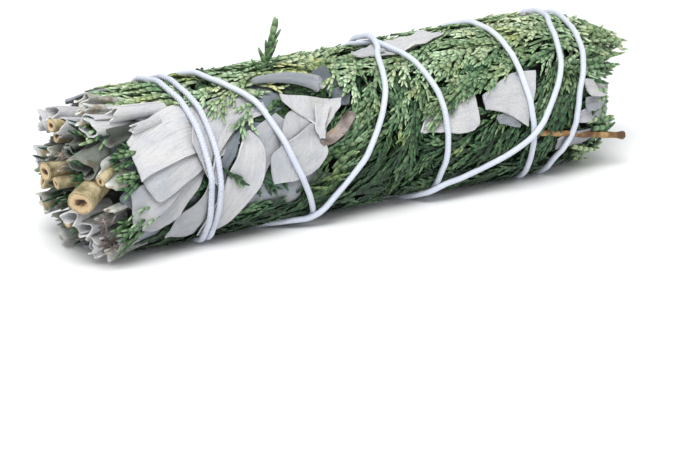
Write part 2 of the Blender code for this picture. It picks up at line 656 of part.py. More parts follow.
def round_cord(name, points, radius, material):
    """A round cord along points in space: a curve with a bevel and filled caps."""
    curve = bpy.data.curves.new(name, "CURVE")
    curve.dimensions = "3D"
    spline = curve.splines.new("POLY")
    spline.points.add(len(points) - 1)
    for slot, point in zip(spline.points, points):
        slot.co = (*point, 1.0)
    profile = bpy.data.curves.new(f"{name}_profile", "CURVE")
    profile.dimensions = "2D"
    ring = profile.splines.new("POLY")
    ring.points.add(STRING_SIDES - 1)
    for k, slot in enumerate(ring.points):
        angle = 2 * math.pi * k / STRING_SIDES
        slot.co = (radius * MM * math.cos(angle), radius * MM * math.sin(angle), 0, 1)
    ring.use_cyclic_u = True
    guide = bpy.data.objects.new(f"{name}_profile", profile)
    bpy.context.scene.collection.objects.link(guide)
    curve.bevel_mode = "OBJECT"
    curve.bevel_object = guide
    curve.use_fill_caps = True
    cord = bpy.data.objects.new(name, curve)
    bpy.context.scene.collection.objects.link(cord)
    graph = bpy.context.evaluated_depsgraph_get()
    graph.update()
    mesh = bpy.data.meshes.new_from_object(cord.evaluated_get(graph))
    bpy.data.objects.remove(cord, do_unlink=True)
    bpy.data.objects.remove(guide, do_unlink=True)
    bm = bmesh.new()
    bm.from_mesh(mesh)
    bmesh.ops.remove_doubles(bm, verts=bm.verts, dist=1e-6)
    bpy.data.meshes.remove(mesh)
    return mesh_object(name, bm, material)


def string_channels(points):
    """A channel for each pass of the string under the bunch, where the leaves are pressed flat over it."""
    groups = []
    for i in range(1, len(points) - 1):
        if points[i].z < CHANNEL_BELOW * MM:
            if groups and i - groups[-1][-1] == 1:
                groups[-1].append(i)
            else:
                groups.append([i])
    channels = []
    for n, group in enumerate(groups):
        line = points[group[0] - 1 : group[-1] + 2]
        bm = bmesh.new()
        rings = []
        for i, point in enumerate(line):
            ahead = line[min(i + 1, len(line) - 1)] - line[max(i - 1, 0)]
            across = Vector((-ahead.y, ahead.x, 0)).normalized() * (STRING_RADIUS + 0.36) * MM
            top = point.z + (STRING_RADIUS + 0.34) * MM
            low = Vector((point.x, point.y, -1.0 * MM))
            high = Vector((point.x, point.y, top))
            corners = (low - across, low + across, high + across, high - across)
            rings.append([bm.verts.new(corner) for corner in corners])
        for first, second in zip(rings, rings[1:]):
            join_rings(bm, first, second)
        bm.faces.new(rings[0])
        bm.faces.new(rings[-1])
        channels.append(mesh_object(f"channel_{n}", bm, bpy.data.materials["sage"]))
    return channels


def knot(name, points, material):
    """The knot: a short fat turn of string round the crossing of its two ends."""
    bm = bmesh.new()
    place = points[0]
    out = (place - Vector((place.x, 0, AXIS_HEIGHT))).normalized()
    turn = out.to_track_quat("Z", "Y").to_matrix().to_4x4()
    squash = Matrix.Diagonal((1.25, 1.0, 0.72, 1.0))
    bmesh.ops.create_icosphere(bm, subdivisions=1, radius=KNOT_SIZE * MM)
    move = Matrix.Translation(place + out * 0.35 * MM)
    bmesh.ops.transform(bm, matrix=move @ turn @ squash, verts=bm.verts)
    return mesh_object(name, bm, material)


def string(relief, material):
    """The cotton string: one length wound from the knot round the bunch and back, with two short tails."""
    points = string_path(relief)
    cord = round_cord("string", points, STRING_RADIUS, material)
    ends = [knot("string_knot", points, material)]
    for n, tail in enumerate(STRING_TAILS):
        keys = [(along, math.radians(angle) * WRAP_RADIUS) for along, angle in tail]
        line = spline_through(keys, 2.0)
        radii = [relief.top(p, TWIG_REACH) + STRING_GAP + STRING_RADIUS for p in line]
        radii[0] = math.hypot(points[0].y, points[0].z - AXIS_HEIGHT) / MM
        for i in range(1, len(radii)):
            radii[i] = max(radii[i], radii[i - 1] - TAIL_FALL)
        places = [rolled(p, r) for p, r in zip(line, radii)]
        ends.append(round_cord(f"string_tail_{n}", places, STRING_RADIUS, material))
    combine(cord, ends, "UNION")
    keep_outer_body(cord)
    return cord, points


def leafy_body(material, draw, relief):
    """The packed middle of the bunch with the outer leaves that grow out of it, as one solid."""
    body = body_solid(material)
    relief.add(body)
    leaves = []
    for row, along in enumerate(UNDER_LEAF_ROWS):
        for k in range(UNDER_LEAVES_ROUND):
            angle = 360 / UNDER_LEAVES_ROUND * k + 22 * row + draw.uniform(-6, 6)
            if BARE_FROM < (angle + 180) % 360 - 180 < BARE_TO:
                continue
            start = (along + draw.uniform(-2, 2), angle)
            end = (start[0] + draw.uniform(25, 30), angle + draw.uniform(-16, 16))
            shape = (start, end, draw.uniform(11, 13), (0.10, 0.96), draw.uniform(-1, 1))
            leaf = leaf_blade(f"under_{row}_{k}", shape, relief, LEAF_STEP_UP, LEAF_THICKNESS, material)
            relief.add(leaf)
            leaves.append(leaf)
    for k, shape in enumerate(FRONT_LEAVES):
        leaf = leaf_blade(f"front_{k}", shape, relief, LEAF_STEP_UP, LEAF_THICKNESS, material, LEAF_EDGE_LIFT)
        relief.add(leaf)
        leaves.append(leaf)
    for k, shape in enumerate(REST_LEAVES):
        leaves.append(leaf_blade(f"rest_{k}", shape, relief, REST_LEAF_RISE, REST_LEAF_RISE + 1.0, material))
        relief.add(leaves[-1])
    for k, (mouth, angle, radius, turn, start_angle) in enumerate(BUTT_ROLLS):
        along, distance = mouth
        face = on_bunch(along, angle, distance) / MM
        inside = on_bunch(BODY_START + 4, angle, min(distance, 10.5)) / MM
        leaves.append(rolled_leaf(f"roll_{k}", face, inside, radius, turn, start_angle, material))
    combine(body, leaves, "UNION")
    return body


def main():
    clear_scene()
    draw = random.Random(SEED)
    sage = make_material("sage", SAGE_COLOUR, 0.9)
    cedar = make_material("cedar", CEDAR_COLOUR, 0.8)
    wood = make_material("wood", WOOD_COLOUR, 0.85)
    cotton = make_material("cotton", STRING_COLOUR, 0.9)

    relief = Relief()
    body = leafy_body(sage, draw, relief)
    loose = {entry[0]: entry for entry in LOOSE_LEAVES}
    sprays = {entry[0]: entry for entry in SPRAYS}
    for name in LAYING_ORDER:
        if name in loose:
            *shape, lift = loose[name][1:]
            made = leaf_blade(name, shape, relief, LOOSE_LEAF_THICKNESS + CLEARANCE, LOOSE_LEAF_THICKNESS,
                              sage, lift, LOOSE_LEAF_CELLS)
        else:
            _, root, tip, width, bow = sprays[name]
            made = cedar_spray(name, root, tip, width, bow, relief, cedar, draw)
        relief.add(made)

    _, points = string(relief, cotton)

    cutters = string_channels(points)
    cutters.append(cutter_box("rest_plane", (0, 0, -PRESSED_DEPTH), (160, 60, 2 * PRESSED_DEPTH)))
    for name, face, inside, radius in (*STEMS, ("twig_at_tip", *TWIG_AT_TIP)):
        rod(name, face, inside, radius, wood)
        before = tuple(a - 0.4 * (b - a) for a, b in zip(face, inside))
        beyond = tuple(b + 0.02 * (b - a) for a, b in zip(face, inside))
        cutters.append(rod(f"{name}_hole", before, beyond, radius + STEM_HOLE_GAP, wood))
    combine(body, cutters, "DIFFERENCE")
    keep_outer_body(body)


if __name__ == "__main__":
    main()
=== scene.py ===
"""Looks of a tied bunch of dried white sage and cedar that lies on a pale floor.

A place on the bunch is written as how far along it is, in millimetres from the middle, and the angle round
its axis in degrees, where 0 faces -Y, 90 is the top, 180 faces +Y and -90 is the underside. Leaves and
sprays are modelled flat, with X along the bunch, Y along the wrap and Z out from the axis, in millimetres.
Each is laid over what is already there. At the end all of it is drawn in under the string, pressed flat
where the bunch rests, and wrapped round the axis in metres.
"""

import math
import random

import bmesh
import bpy
import numpy as np
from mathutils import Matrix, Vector


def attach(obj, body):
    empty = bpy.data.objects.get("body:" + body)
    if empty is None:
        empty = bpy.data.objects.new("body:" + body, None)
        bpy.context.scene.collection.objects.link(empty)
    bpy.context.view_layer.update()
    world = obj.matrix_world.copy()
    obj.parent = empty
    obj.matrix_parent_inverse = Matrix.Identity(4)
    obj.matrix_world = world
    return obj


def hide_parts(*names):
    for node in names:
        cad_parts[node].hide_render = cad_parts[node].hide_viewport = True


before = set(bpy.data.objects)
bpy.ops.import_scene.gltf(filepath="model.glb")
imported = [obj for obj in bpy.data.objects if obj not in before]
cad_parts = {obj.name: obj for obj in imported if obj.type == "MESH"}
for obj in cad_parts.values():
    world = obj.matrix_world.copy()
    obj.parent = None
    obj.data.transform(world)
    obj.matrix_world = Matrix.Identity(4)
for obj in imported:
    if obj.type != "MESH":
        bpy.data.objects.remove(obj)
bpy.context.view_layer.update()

# Frame of the bunch, in millimetres
MM = 0.001
AXIS_HEIGHT = 13.5
WRAP_RADIUS = 15.0
PER_DEGREE = math.radians(1.0) * WRAP_RADIUS
GIRTH = 2 * math.pi * WRAP_RADIUS
CORE_PROFILE = ((-56, 9.0), (-51, 11.0), (-46, 12.0), (0, 12.0), (46, 12.2), (52, 10.8), (56, 8.0))
CORE_START, CORE_END = -50.5, 53.0
CORE_SIDES, CORE_RINGS = 64, 42
OUTER_PROFILE = (
    (-58, 14.2), (-50, 15.2), (-38, 15.6), (-20, 15.5), (0, 15.7), (18, 16.2), (34, 16.8), (46, 16.5),
    (56, 14.8))
# The surface moves out or in by at most this much to reach its real thickness, and less within this depth
LONGEST_LIFT = 2.6
RISING_DEPTH = 3.0
# Past these the surface moves as much as it does there
LIFT_FROM, LIFT_TO = -50, 46
# Heights between these are pressed up onto the floor
FLOOR_FROM, FLOOR_TO = -2.9, 3.0
SEED = 11

# Sage leaves
BLADE_ROWS, BLADE_COLUMNS = 26, 12
BLADE_THICKNESS = 0.32
BLADE_GAP = 0.12
BLADE_END_LIFT = 0.55
BLADE_RIPPLE = 0.10
BLADE_RIPPLES = 2.2
# Waves of a leaf's edge along its length, and the width under which its edges curl less
EDGE_WAVES = (1.6, 3.3)
FULL_CURL_WIDTH = 6
GRID_ROUNDING = 1e4
BLADE_REST_REACH = 0.4
BLADE_SMOOTH_ANGLE = math.radians(50)
MIDRIB_DEPTH = 0.10
MIDRIB_WIDTH = 0.05
END_THICKNESS = 0.28
END_RIM_LIGHT = 0.35
END_RIM_FADE = 22
ROLL_NARROWING = 0.42

# Cedar
SHOOT_WIDTH = 0.76
SHOOT_DEPTH = 0.60
SHOOT_SIDES = 6
SCALE_LENGTH = 1.5
STALK_STEP = 1.7
SMALL_SHOOT_STEP = 1.05
LONGEST_SHOOT = 10
LEAST_RADIUS = 3.0
SIDE_REACH = 0.72
SIDE_SPREAD = (26, 42)
SIDE_BEND = (0.3, 0.8)
SMALL_REACH, SMALL_LEAST = 0.26, 1.6
SMALL_SPREAD = (18, 34)
TONE_SPREAD = 0.22
SHOOT_SMOOTH_ANGLE = math.radians(60)
STEEPEST_SHOOT = 0.22
# Tone of the cedar by angle, as painted light and shade: lighter on top of the bunch, deep green in painted
# shade below
PAINTED_LIGHT_BY_ANGLE = ((-50, -0.04), (-10, 0.11), (30, 0.46), (60, 0.68), (90, 0.77), (120, 0.62), (200, 0.45))

# Cotton string
STRING_RADIUS = 0.58
STRING_STEP = 0.5
STRING_PITCH = 2.6
STRING_PRESS = 0.75
STRING_SIDES = 12
STRING_GAP = 0.3
SAME_PASS = 30.0
STRING_TIGHTENING = 500
# How high one pass lies on another, as a share of the string's thickness, and how it comes down beside it
CROSSING_RISE = 0.93
CROSSING_FALL = 0.06
KNOT_SIZE = 0.42
KNOT_STEPS = 60

# (along, angle) of the string, from the knot round the bunch and back; the angle falls by 360 each turn.
STRING_ROUTE = (
    (-39.6, 180), (-39.5, 130), (-38.4, 80), (-37.2, 50), (-36.2, 10), (-35.6, -43), (-35.7, -120),
    (-36.2, -200), (-36.0, -280), (-34.9, -312), (-34.3, -350), (-34.1, -407), (-33.4, -480), (-32.4, -570),
    (-29.6, -636),
    (-24.8, -664), (-21.8, -690), (-18.7, -718), (-13.4, -760), (-10.5, -800), (-4.5, -860), (2.6, -930),
    (7.6, -990), (10.4, -1013), (12.9, -1047), (13.8, -1083), (13.4, -1112), (14.8, -1150), (18.5, -1210),
    (24.8, -1280), (30.2, -1345), (31.5, -1385), (32.3, -1420), (33.5, -1455), (35.2, -1500), (39.0, -1555),
    (46.0, -1610), (49.8, -1665), (50.0, -1712), (47.8, -1755), (44.6, -1784), (42.8, -1815), (40.2, -1840),
    (40.6, -1890), (42.5, -1950), (45.6, -2010), (47.0, -2065), (44.2, -2091), (41.0, -2126), (35.2, -2155),
    (28.0, -2177), (18.8, -2191), (14.0, -2195), (10.0, -2209), (8.4, -2240), (8.2, -2310), (6.6, -2425),
    (4.6, -2450), (1.6, -2484), (-4.6, -2523), (-13.2, -2560), (-18.5, -2570), (-24.0, -2592), (-28.5, -2630),
    (-33.5, -2668), (-39.6, -2700),
)
STRING_TAILS = (
    ((-39.6, 180), (-41.5, 174), (-44.5, 169), (-47.5, 167)),
    ((-39.6, 180), (-41.2, 187), (-43.2, 192), (-46.2, 194)),
)

# Leaves of the side that faces the camera. Each has its two edges as (along, angle) from its stalk or cut end
# to its tip, how far its edges curl out in millimetres, and how light it is, as painted light and shade.
LEAVES = {
    "outer_low": (
        ((-42, -20), (-38.5, -12), (-35.5, 0), (-32.5, 8)),
        ((-44, -36), (-39, -42), (-34, -42), (-30, -28)), 0.2, 0.55),
    "fourth": (
        ((-48.5, -15), (-44, -6), (-40, 6), (-33, 16)),
        ((-48.9, -26), (-46.5, -29), (-44.1, -27), (-41.8, -18), (-39.7, -6), (-36.2, 6), (-32, 14)),
        0.45, 0.65),
    "third": (
        ((-51.2, 4), (-48, 8), (-42, 11), (-35, 16)),
        ((-50.7, -21), (-49, -20.5), (-45.5, -14), (-43.2, -7), (-40, 5), (-35, 12)), 0.35, 0.7),
    "second": (
        ((-49.5, 20), (-44, 26), (-36, 33), (-29, 36)),
        ((-48.2, 5), (-46.2, -5), (-43.3, -1), (-40.3, 6), (-36.1, 12), (-29, 24)), 0.3, 0.75),
    "first": (
        ((-50.4, 38), (-48, 45), (-45, 52), (-40.5, 59), (-34, 62), (-27, 57)),
        ((-49.4, 11), (-47, 14.5), (-44.5, 17), (-40.7, 21), (-36.3, 24), (-31, 31), (-26, 46)), 0.25, 0.95),
    "behind_string": (
        ((-38.5, 30), (-36, 50), (-31, 61), (-24, 60)),
        ((-36.5, 5), (-33.5, 26), (-29, 42), (-23, 50)), 0.2, 0.8),
    "crescent": (
        ((-35.8, 5), (-34.4, 20), (-33.4, 28), (-30.7, 38), (-27.2, 46), (-22.5, 50)),
        ((-34.6, -2), (-33.7, 18), (-30.8, 30), (-28.1, 36), (-26.3, 39), (-22, 42)), 0.3, 0.9),
    "narrow_blue": (
        ((-34.6, -6), (-33.8, 10), (-32.0, 22), (-30.3, 28), (-28.7, 33)),
        ((-33.2, -8), (-32.0, 8), (-30.4, 18), (-29.2, 26), (-28.2, 32)), 0.3, 0.25),
    "under_long": (
        ((-28.5, 0), (-27, 18), (-25.5, 32), (-21, 40)),
        ((-25.5, -4), (-23.5, 7), (-20.6, 17), (-17, 26)), 0.1, 0.6),
    "behind_cut": (
        ((-21.4, 8), (-20.6, 24), (-19.3, 36), (-16.5, 42)),
        ((-14, 8), (-13.6, 20), (-13.8, 30), (-14.6, 40)), 0.2, 0.7),
    "cut_square": (
        ((-23.4, -8), (-23.8, 3), (-23.5, 12), (-20.9, 17), (-17.5, 23), (-14.2, 29)),
        ((-17.2, -9.5), (-14.6, -3), (-12.5, 5), (-12.0, 10), (-12.7, 20), (-13.6, 28.6)), 0.15, 0.75),
    "long": (
        ((-37, -44), (-35, -20), (-32.5, 2), (-30.5, 14), (-29.2, 23), (-26.9, 32)),
        ((-35, -54), (-31.5, -34), (-28.4, -18), (-26.1, -6), (-25.0, 8), (-25.1, 20), (-26.5, 32)),
        0.3, 0.85),
    "in_middle": (
        ((7.5, 9.5), (10, 19), (13, 28), (17.5, 31), (21.4, 31)),
        ((8.0, 8.0), (13.5, 4.5), (17, 2.5), (19.6, 2.8), (20.9, 7)), 0.15, 0.85),
    "small_by_crossing": (
        ((24.5, 9), (26.6, 11), (29, 7), (30.6, 2)),
        ((25.0, 5), (27, 3), (29, 0), (30.2, 0)), 0.2, 0.4),
    "by_last_crossing": (
        ((22.6, 26), (25.5, 31), (28.8, 36), (31.5, 38), (35.6, 36)),
        ((22.3, 16), (24.5, 14), (27, 10.5), (29, 6), (31.8, -1)), 0.35, 0.8),
    "blue_oval": (
        ((-10, 68), (-9.3, 60), (-8.4, 50), (-7, 40), (-5.8, 38.5)),
        ((-7, 72), (-5.4, 64), (-4.2, 54), (-4.1, 46), (-5.2, 39)), 0.2, 0.12),
    "brown_piece": (
        ((-6, 33), (-8.6, 26), (-11.5, 18.5), (-13.3, 14.8)),
        ((-4.6, 29), (-7.6, 19.5), (-10.6, 12.5), (-12.8, 12.6)), 0.9, 0.3),
    "by_first_crossing": (
        ((-18.7, 53), (-18.4, 46), (-16.5, 37), (-14.3, 31), (-13.0, 25), (-12.9, 18)),
        ((-7.1, 42), (-7.5, 37), (-9.4, 31.5), (-10.9, 25), (-11.9, 20), (-12.5, 17.5)), 0.9, 0.85),
    "fold_by_first_crossing": (
        ((-12.6, 41), (-12.9, 34), (-13.6, 26), (-13.4, 17)),
        ((-9.6, 39), (-10.6, 33), (-11.6, 26), (-12.4, 17)), 0.7, 0.95),
    "tip_upper": (
        ((46, 25), (50, 23), (57.5, 17)),
        ((47, 12), (51, 9), (57, 9)), 0.9, 0.85),
    "tip_middle": (
        ((46, 11), (50, 11), (53.5, 7)),
        ((46, 2), (49, 0), (51.5, 2)), 0.6, 0.45),
    "tip_lower": (
        ((45, 2), (50, 5), (56, 3)),
        ((44, -6), (50, -9), (54.5, -8)), 0.8, 0.75),
    "tip_lowest": (
        ((39, -14), (45, -13), (52.4, -19)),
        ((40, -25), (46, -27), (51.6, -27)), 0.3, 0.45),
    "on_top": (
        ((5.5, 88), (11, 93), (17, 96), (22, 94)),
        ((6.0, 76), (11, 74), (16, 77), (21.8, 84)), 1.5, 0.95),
    "small_on_top": (
        ((0.6, 82), (4, 86), (8.6, 90)),
        ((0.8, 73), (3.5, 74), (7.4, 77)), 0.5, 0.85),
    "top_right": (
        ((45, 112), (51, 111), (57.5, 106)),
        ((45, 101), (50, 99), (56.5, 98)), 2.0, 0.95),
}

# Leaves of the sides that the camera doesn't see: start and end, width, sideways bow and how light it is, as
# painted light and shade
HIDDEN_LEAVES = {
    "back_left": ((-30, 168), (-10, 152), 11.0, 0.7, 0.7),
    "back_middle": ((-4, 196), (16, 178), 11.5, -0.8, 0.8),
    "back_right": ((38, 160), (18, 150), 10.0, 0.6, 0.7),
    "back_first": ((-52, 150), (-30, 132), 12.0, 0.6, 0.8),
    "back_second": ((-51, 186), (-28, 176), 12.5, -0.5, 0.7),
    "back_third": ((-52, 222), (-30, 212), 12.0, 0.5, 0.75),
    "back_fourth": ((-51, 254), (-28, 248), 12.0, -0.6, 0.6),
    "back_upper": ((-26, 122), (-6, 134), 10.5, -0.6, 0.75),
    "back_low": ((-24, 230), (0, 240), 12.0, 0.8, 0.6),
    "back_low_right": ((12, 236), (38, 232), 12.0, 0.6, 0.6),
    "back_end": ((32, 190), (53, 180), 10.5, 0.5, 0.7),
    "back_end_low": ((34, 226), (52, 232), 10.0, -0.5, 0.6),
    "back_top": ((8, 132), (28, 122), 9.5, 0.5, 0.8),
    "under_first": ((-47, -93), (-17, -88), 12, 0.3, 0.5),
    "under_second": ((-16, -88), (15, -92), 13, 0.3, 0.55),
    "under_third": ((12, -92), (42, -89), 12, 0.3, 0.5),
}

# Cedar sprays by the solid that they stand for: root and tip, width, sideways bow
SPRAYS = {
    "front_low": (
        ((-38, -56), (-12, -20), 10, -3.0), ((-30, -58), (-4, -2), 11, -5.0),
        ((-24, -46), (2, 44), 12, -5.0), ((-34, -46), (-20, -22), 8, -1.5), ((-16, -46), (4, 24), 10, -4.0),
        ((-18, -20), (-3, 34), 8, -3.5), ((-17, -8), (-5, 36), 7, -0.5), ((-11, -6), (-1, 46), 8, -1.0),
        ((-10, -38), (6, 8), 9, -2.5), ((-15, -14), (-8, 24), 7, 0.0), ((-17, -4), (-7, 16), 6, 0.3),
        ((-50, -40), (-35, -36), 8, -0.4), ((-51, -52), (-35, -50), 9, -0.4),
        ((-46, -31), (-36, -22), 5, -0.4)),
    "lower_right": (
        ((44, -14), (9, -30), 12, 1.0), ((34, -2), (12, -14), 10, 0.8), ((32, -30), (6, -40), 10, 1.0),
        ((24, 4), (8, -8), 9, 0.5), ((40, -24), (18, -44), 10, 1.0), ((30, 6), (20, -14), 8, 0.6),
        ((33, 22), (21, 2), 8, 0.4), ((36, 28), (25, 12), 7, 0.4)),
    "middle": (
        ((3, -42), (7, 54), 13, -1.0), ((9, 58), (3, 14), 10, 0.6), ((12, 44), (5, 0), 9, 0.5),
        ((8, 30), (5, -24), 10, -0.8), ((12, 12), (7, -34), 9, 0.6), ((13, 66), (8, 30), 8, 0.5)),
    "top_left": (
        ((-30, 70), (-50, 76), 9, 0.5), ((-32, 80), (-52, 84), 9, -0.5), ((-34, 63), (-48, 66), 6, 0.4),
        ((-28, 90), (-47, 94), 9, 0.5), ((-34, 74), (-49, 70), 6, 0.3)),
    "over_first_leaf": (
        ((-20, 78), (-34, 46), 8, -0.8), ((-22, 60), (-29, 30), 5, -0.4), ((-27, 74), (-37, 60), 5, 0.4),
        ((-33.4, 9), (-29.4, -6), 3.2, 0.2)),
    "by_first_crossing": (
        ((-4, 80), (-9, 50), 6, 0.8), ((0, 74), (-5, 46), 7, 0.6), ((4, 70), (-1, 38), 7, 0.5),
        ((3, 60), (-4.5, 24), 7, 0.6)),
    "top_middle": (
        ((-32, 94), (-4, 80), 11, 1.0), ((-30, 84), (-8, 72), 9, 0.5), ((-24, 98), (0, 98), 10, -0.6),
        ((-16, 86), (6, 76), 9, 0.6), ((-30, 74), (-16, 66), 7, -0.4), ((-30, 106), (-6, 108), 10, 0.5),
        ((-12, 76), (2, 66), 8, 0.5)),
    "upper_right": (
        ((44, 60), (11, 22), 12, -2.2), ((38, 76), (14, 46), 10, -1.2), ((40, 48), (18, 28), 8, -1.0),
        ((30, 54), (9, 10), 8, -1.2), ((46, 70), (22, 50), 9, -1.0)),
    "top_right": (
        ((14, 98), (48, 80), 12, 0.8), ((20, 88), (46, 70), 9, 0.6), ((28, 96), (52, 90), 10, 0.6),
        ((14, 108), (42, 104), 11, 0.6), ((34, 74), (52, 62), 8, 0.4)),
    "above_middle": (
        ((34, 84), (8, 58), 11, 1.0), ((24, 88), (2, 66), 9, 0.8), ((16, 76), (3, 52), 8, 0.5)),
    "end_front": (
        ((40, 38), (60, 42), 9, -0.6), ((42, 30), (57, 31), 5, 0.4), ((40, 50), (61, 56), 9, 0.5)),
    "end_top": (
        ((42, 98), (60, 84), 10, 0.6), ((40, 82), (63, 74), 9, 0.4), ((42, 66), (62, 62), 8, 0.4),
        ((42, 106), (58, 102), 9, 0.5), ((46, 92), (65, 84), 7, 0.3), ((48, 76), (64.5, 62), 7, 0.3)),
    "band_right": (
        ((47, 46), (37, -18), 9, 0.8), ((44, 56), (39, 12), 8, 0.5), ((42, 34), (35, 0), 7, 0.5),
        ((46, 40), (42.5, 10), 7, 0.5), ((42, 14), (36, -22), 7, 0.4), ((49, 68), (38, 42), 9, 0.6),
        ((48, 54), (40, 26), 8, 0.4), ((44, 50), (35, 12), 9, 0.3), ((41, 40), (33, -6), 9, 0.3),
        ((37, 30), (27, -8), 8, 0.3), ((40, 16), (30, -16), 8, 0.3)),
    "back_left": (
        ((-48, 142), (-16, 126), 11, 0.8), ((-50, 112), (-24, 112), 11, 0.6)),
    "back_middle": (
        ((-24, 208), (6, 218), 11, -0.8), ((-30, 196), (-6, 204), 9, 0.6)),
    "back_right": (
        ((20, 218), (50, 196), 11, 0.8), ((16, 206), (42, 214), 9, 0.6)),
    "back_end": (
        ((34, 140), (58, 148), 10, 0.5), ((36, 120), (60, 122), 10, 0.5), ((38, 166), (58, 172), 9, 0.4),
        ((46, 134), (30, 126), 8, 0.3)),
    "back_top": (
        ((-6, 126), (22, 118), 11, 0.6), ((-4, 110), (22, 108), 10, 0.5), ((14, 134), (38, 128), 9, 0.5),
        ((-16, 124), (4, 106), 10, 0.4), ((-4, 132), (14, 116), 9, 0.4)),
}

# How far the shoots of some sprays stand out from their stalks, where these lie nearly in line
OPENINGS = {"top_left": 0.45, "upper_right": 0.75, "front_low": 0.75, "band_right": 0.75, "end_top": 0.8}

# What is laid after what, on top of the leaves and cedar that are laid by rule
LAYING_ORDER = (
    "spray back_left", "spray back_middle", "spray back_right", "spray back_top", "spray back_end",
    "spray end_top", "spray front_low", "spray middle", "spray lower_right",
    "leaf outer_low", "leaf fourth", "leaf third", "leaf second", "leaf first",
    "leaf behind_string", "leaf narrow_blue", "leaf under_long", "leaf behind_cut", "leaf cut_square",
    "leaf long", "leaf crescent", "spray band_right", "leaf tip_lowest", "leaf tip_lower", "leaf tip_middle",
    "leaf tip_upper", "spray end_front", "leaf in_middle", "leaf small_by_crossing",
    "leaf by_last_crossing", "spray top_right", "leaf top_right", "spray above_middle", "spray upper_right",
    "leaf on_top", "spray top_left", "spray top_middle", "leaf small_on_top", "leaf blue_oval",
    "leaf brown_piece", "leaf by_first_crossing", "leaf fold_by_first_crossing",
    "spray by_first_crossing", "spray over_first_leaf",
)

# The solids that the leaves stand for, where they aren't part of the solid with the most leaves
LEAF_NODES = {
    "by_first_crossing": "leaf_by_first_crossing",
    "on_top": "leaf_on_top",
    "in_middle": "leaf_in_middle",
    "by_last_crossing": "leaf_by_last_crossing",
    "top_right": "leaf_top_right",
    "back_left": "leaf_back_left",
    "back_middle": "leaf_back_middle",
    "back_right": "leaf_back_right",
}

# The shoot that stands up: its foot, and for each part of it how far up and along it starts, how long it is,
# how far it leans along the bunch over that length, and how wide it is
STANDING_FOOT = (-17.6, 84)
STANDING_PARTS = (
    (0.0, 0.0, 9.6, 2.4, 0.95), (5.0, 1.2, 4.9, 0.9, 1.2), (4.4, 1.1, 3.2, 1.8, 0.9),
    (6.0, 1.4, 2.8, 1.3, 0.85), (1.0, 0.2, 3.6, -1.6, 1.0), (2.6, 0.6, 3.2, -0.6, 0.95),
    (0.8, 0.3, 3.6, 2.2, 1.0), (2.6, 0.7, 3.0, 1.8, 0.95), (0.0, -0.8, 2.6, -1.9, 1.0),
    (0.0, 1.0, 2.4, 2.2, 1.0), (4.0, 0.9, 3.0, 0.0, 1.0), (0.0, -0.2, 3.2, 0.4, 1.2),
)

# Cut stems: cut face and a point inside, as (along, across, height above the axis), and radius
STEMS = {
    "stem_thick": ((-59.8, -12.8, 0.2), (-48.0, -5.0, 4.6), 2.35),
    "stem_left": ((-61.8, -2.4, 3.2), (-44.0, -1.8, 1.6), 1.6),
    "stem_upper": ((-60.6, -3.4, 11.7), (-46.0, -3.2, 9.0), 1.15),
    "stem_lower": ((-58.6, -3.0, -6.4), (-40.0, -3.0, -5.4), 1.3),
    "stem_back": ((-59.0, 5.6, -1.4), (-40.0, 4.2, -1.4), 1.5),
    "stem_back_upper": ((-56.0, 5.4, 6.6), (-42.0, 4.8, 5.0), 1.2),
    "stem_back_lower": ((-58.0, 8.4, -7.2), (-42.0, 7.0, -6.0), 1.1),
}
SMALL_STEMS = (
    ((-56.2, -13.4, 3.6), (-48, -8.4, 7.4), 0.85), ((-60.8, -4.8, 1.6), (-46, -4, 1), 1.15),
    ((-57.4, 10.0, 2.0), (-44, 8, 2), 0.7), ((-57.0, 1.6, -9.4), (-44, 1, -8), 0.8),
)
TWIG_AT_TIP = ((57.0, -14.0, -6.9), (35.0, -15.9, -2.2), 0.58)
# The cut face's rings, from the rim to the pith: how wide and how deep, as shares of the radius
STEM_INSETS = ((0.10, 0.0), (0.26, 0.0), (0.24, 0.05), (0.12, 0.12), (0.12, 0.06))
STEM_SIDES, STEM_CUTS = 18, 16
STEM_SMOOTH_ANGLE = math.radians(40)
# Marks the bark's points, where the cut face has values up to 1
BARK_MARK = 1.4
KNOT_LENGTH = 0.8
TWIG_KNOTS = ((0.0, 1.45), (4.6, 1.25), (11.0, 1.3), (16.5, 1.2))

# Leaves rolled up at the cut end: mouth and inner end as (along, across, height above the axis), radius,
# how many times round, where the roll starts in degrees, and how light, as painted light and shade
ROLLS = (
    ((-59.2, -3.5, 11.6), (-50, -3.2, 10.0), 1.9, 1.15, 200, 0.8),
    ((-56.2, -9.4, 12.4), (-47, -7.2, 10.6), 2.0, 1.25, 60, 0.85),
    ((-51.8, -9.5, 13.9), (-41, -7.0, 12.6), 1.5, 1.3, 120, 0.9),
    ((-48.6, -11.4, 11.3), (-43, -9.8, 11.6), 0.8, 1.6, 120, 0.85),
    ((-58.8, -10.6, 5.8), (-50, -6.8, 8.8), 2.6, 1.15, 250, 0.4),
    ((-58.6, -6.2, 7.2), (-50, -5.0, 6.4), 1.5, 1.4, 40, 0.3),
    ((-58.4, -10.2, -5.6), (-50, -8.0, -4.6), 1.7, 1.2, 220, 0.75),
    ((-60.2, -8.2, -4.0), (-52, -6.4, -3.4), 1.8, 0.8, 330, 0.95),
    ((-56.6, -9.6, -9.2), (-49, -8.0, -8.0), 1.8, 1.2, 20, 0.75),
    ((-58.6, 0.8, 12.6), (-50, 0.4, 10.8), 1.8, 1.3, 180, 0.8),
    ((-58.0, 7.6, 9.0), (-50, 6.6, 7.6), 2.0, 1.2, 320, 0.7),
    ((-57.6, 11.2, 1.6), (-50, 9.6, 1.2), 1.9, 1.2, 200, 0.7),
    ((-57.8, 9.6, -7.0), (-50, 8.2, -6.0), 2.0, 1.3, 290, 0.6),
    ((-57.4, 2.0, -11.0), (-50, 1.6, -9.2), 1.9, 1.3, 330, 0.6),
)
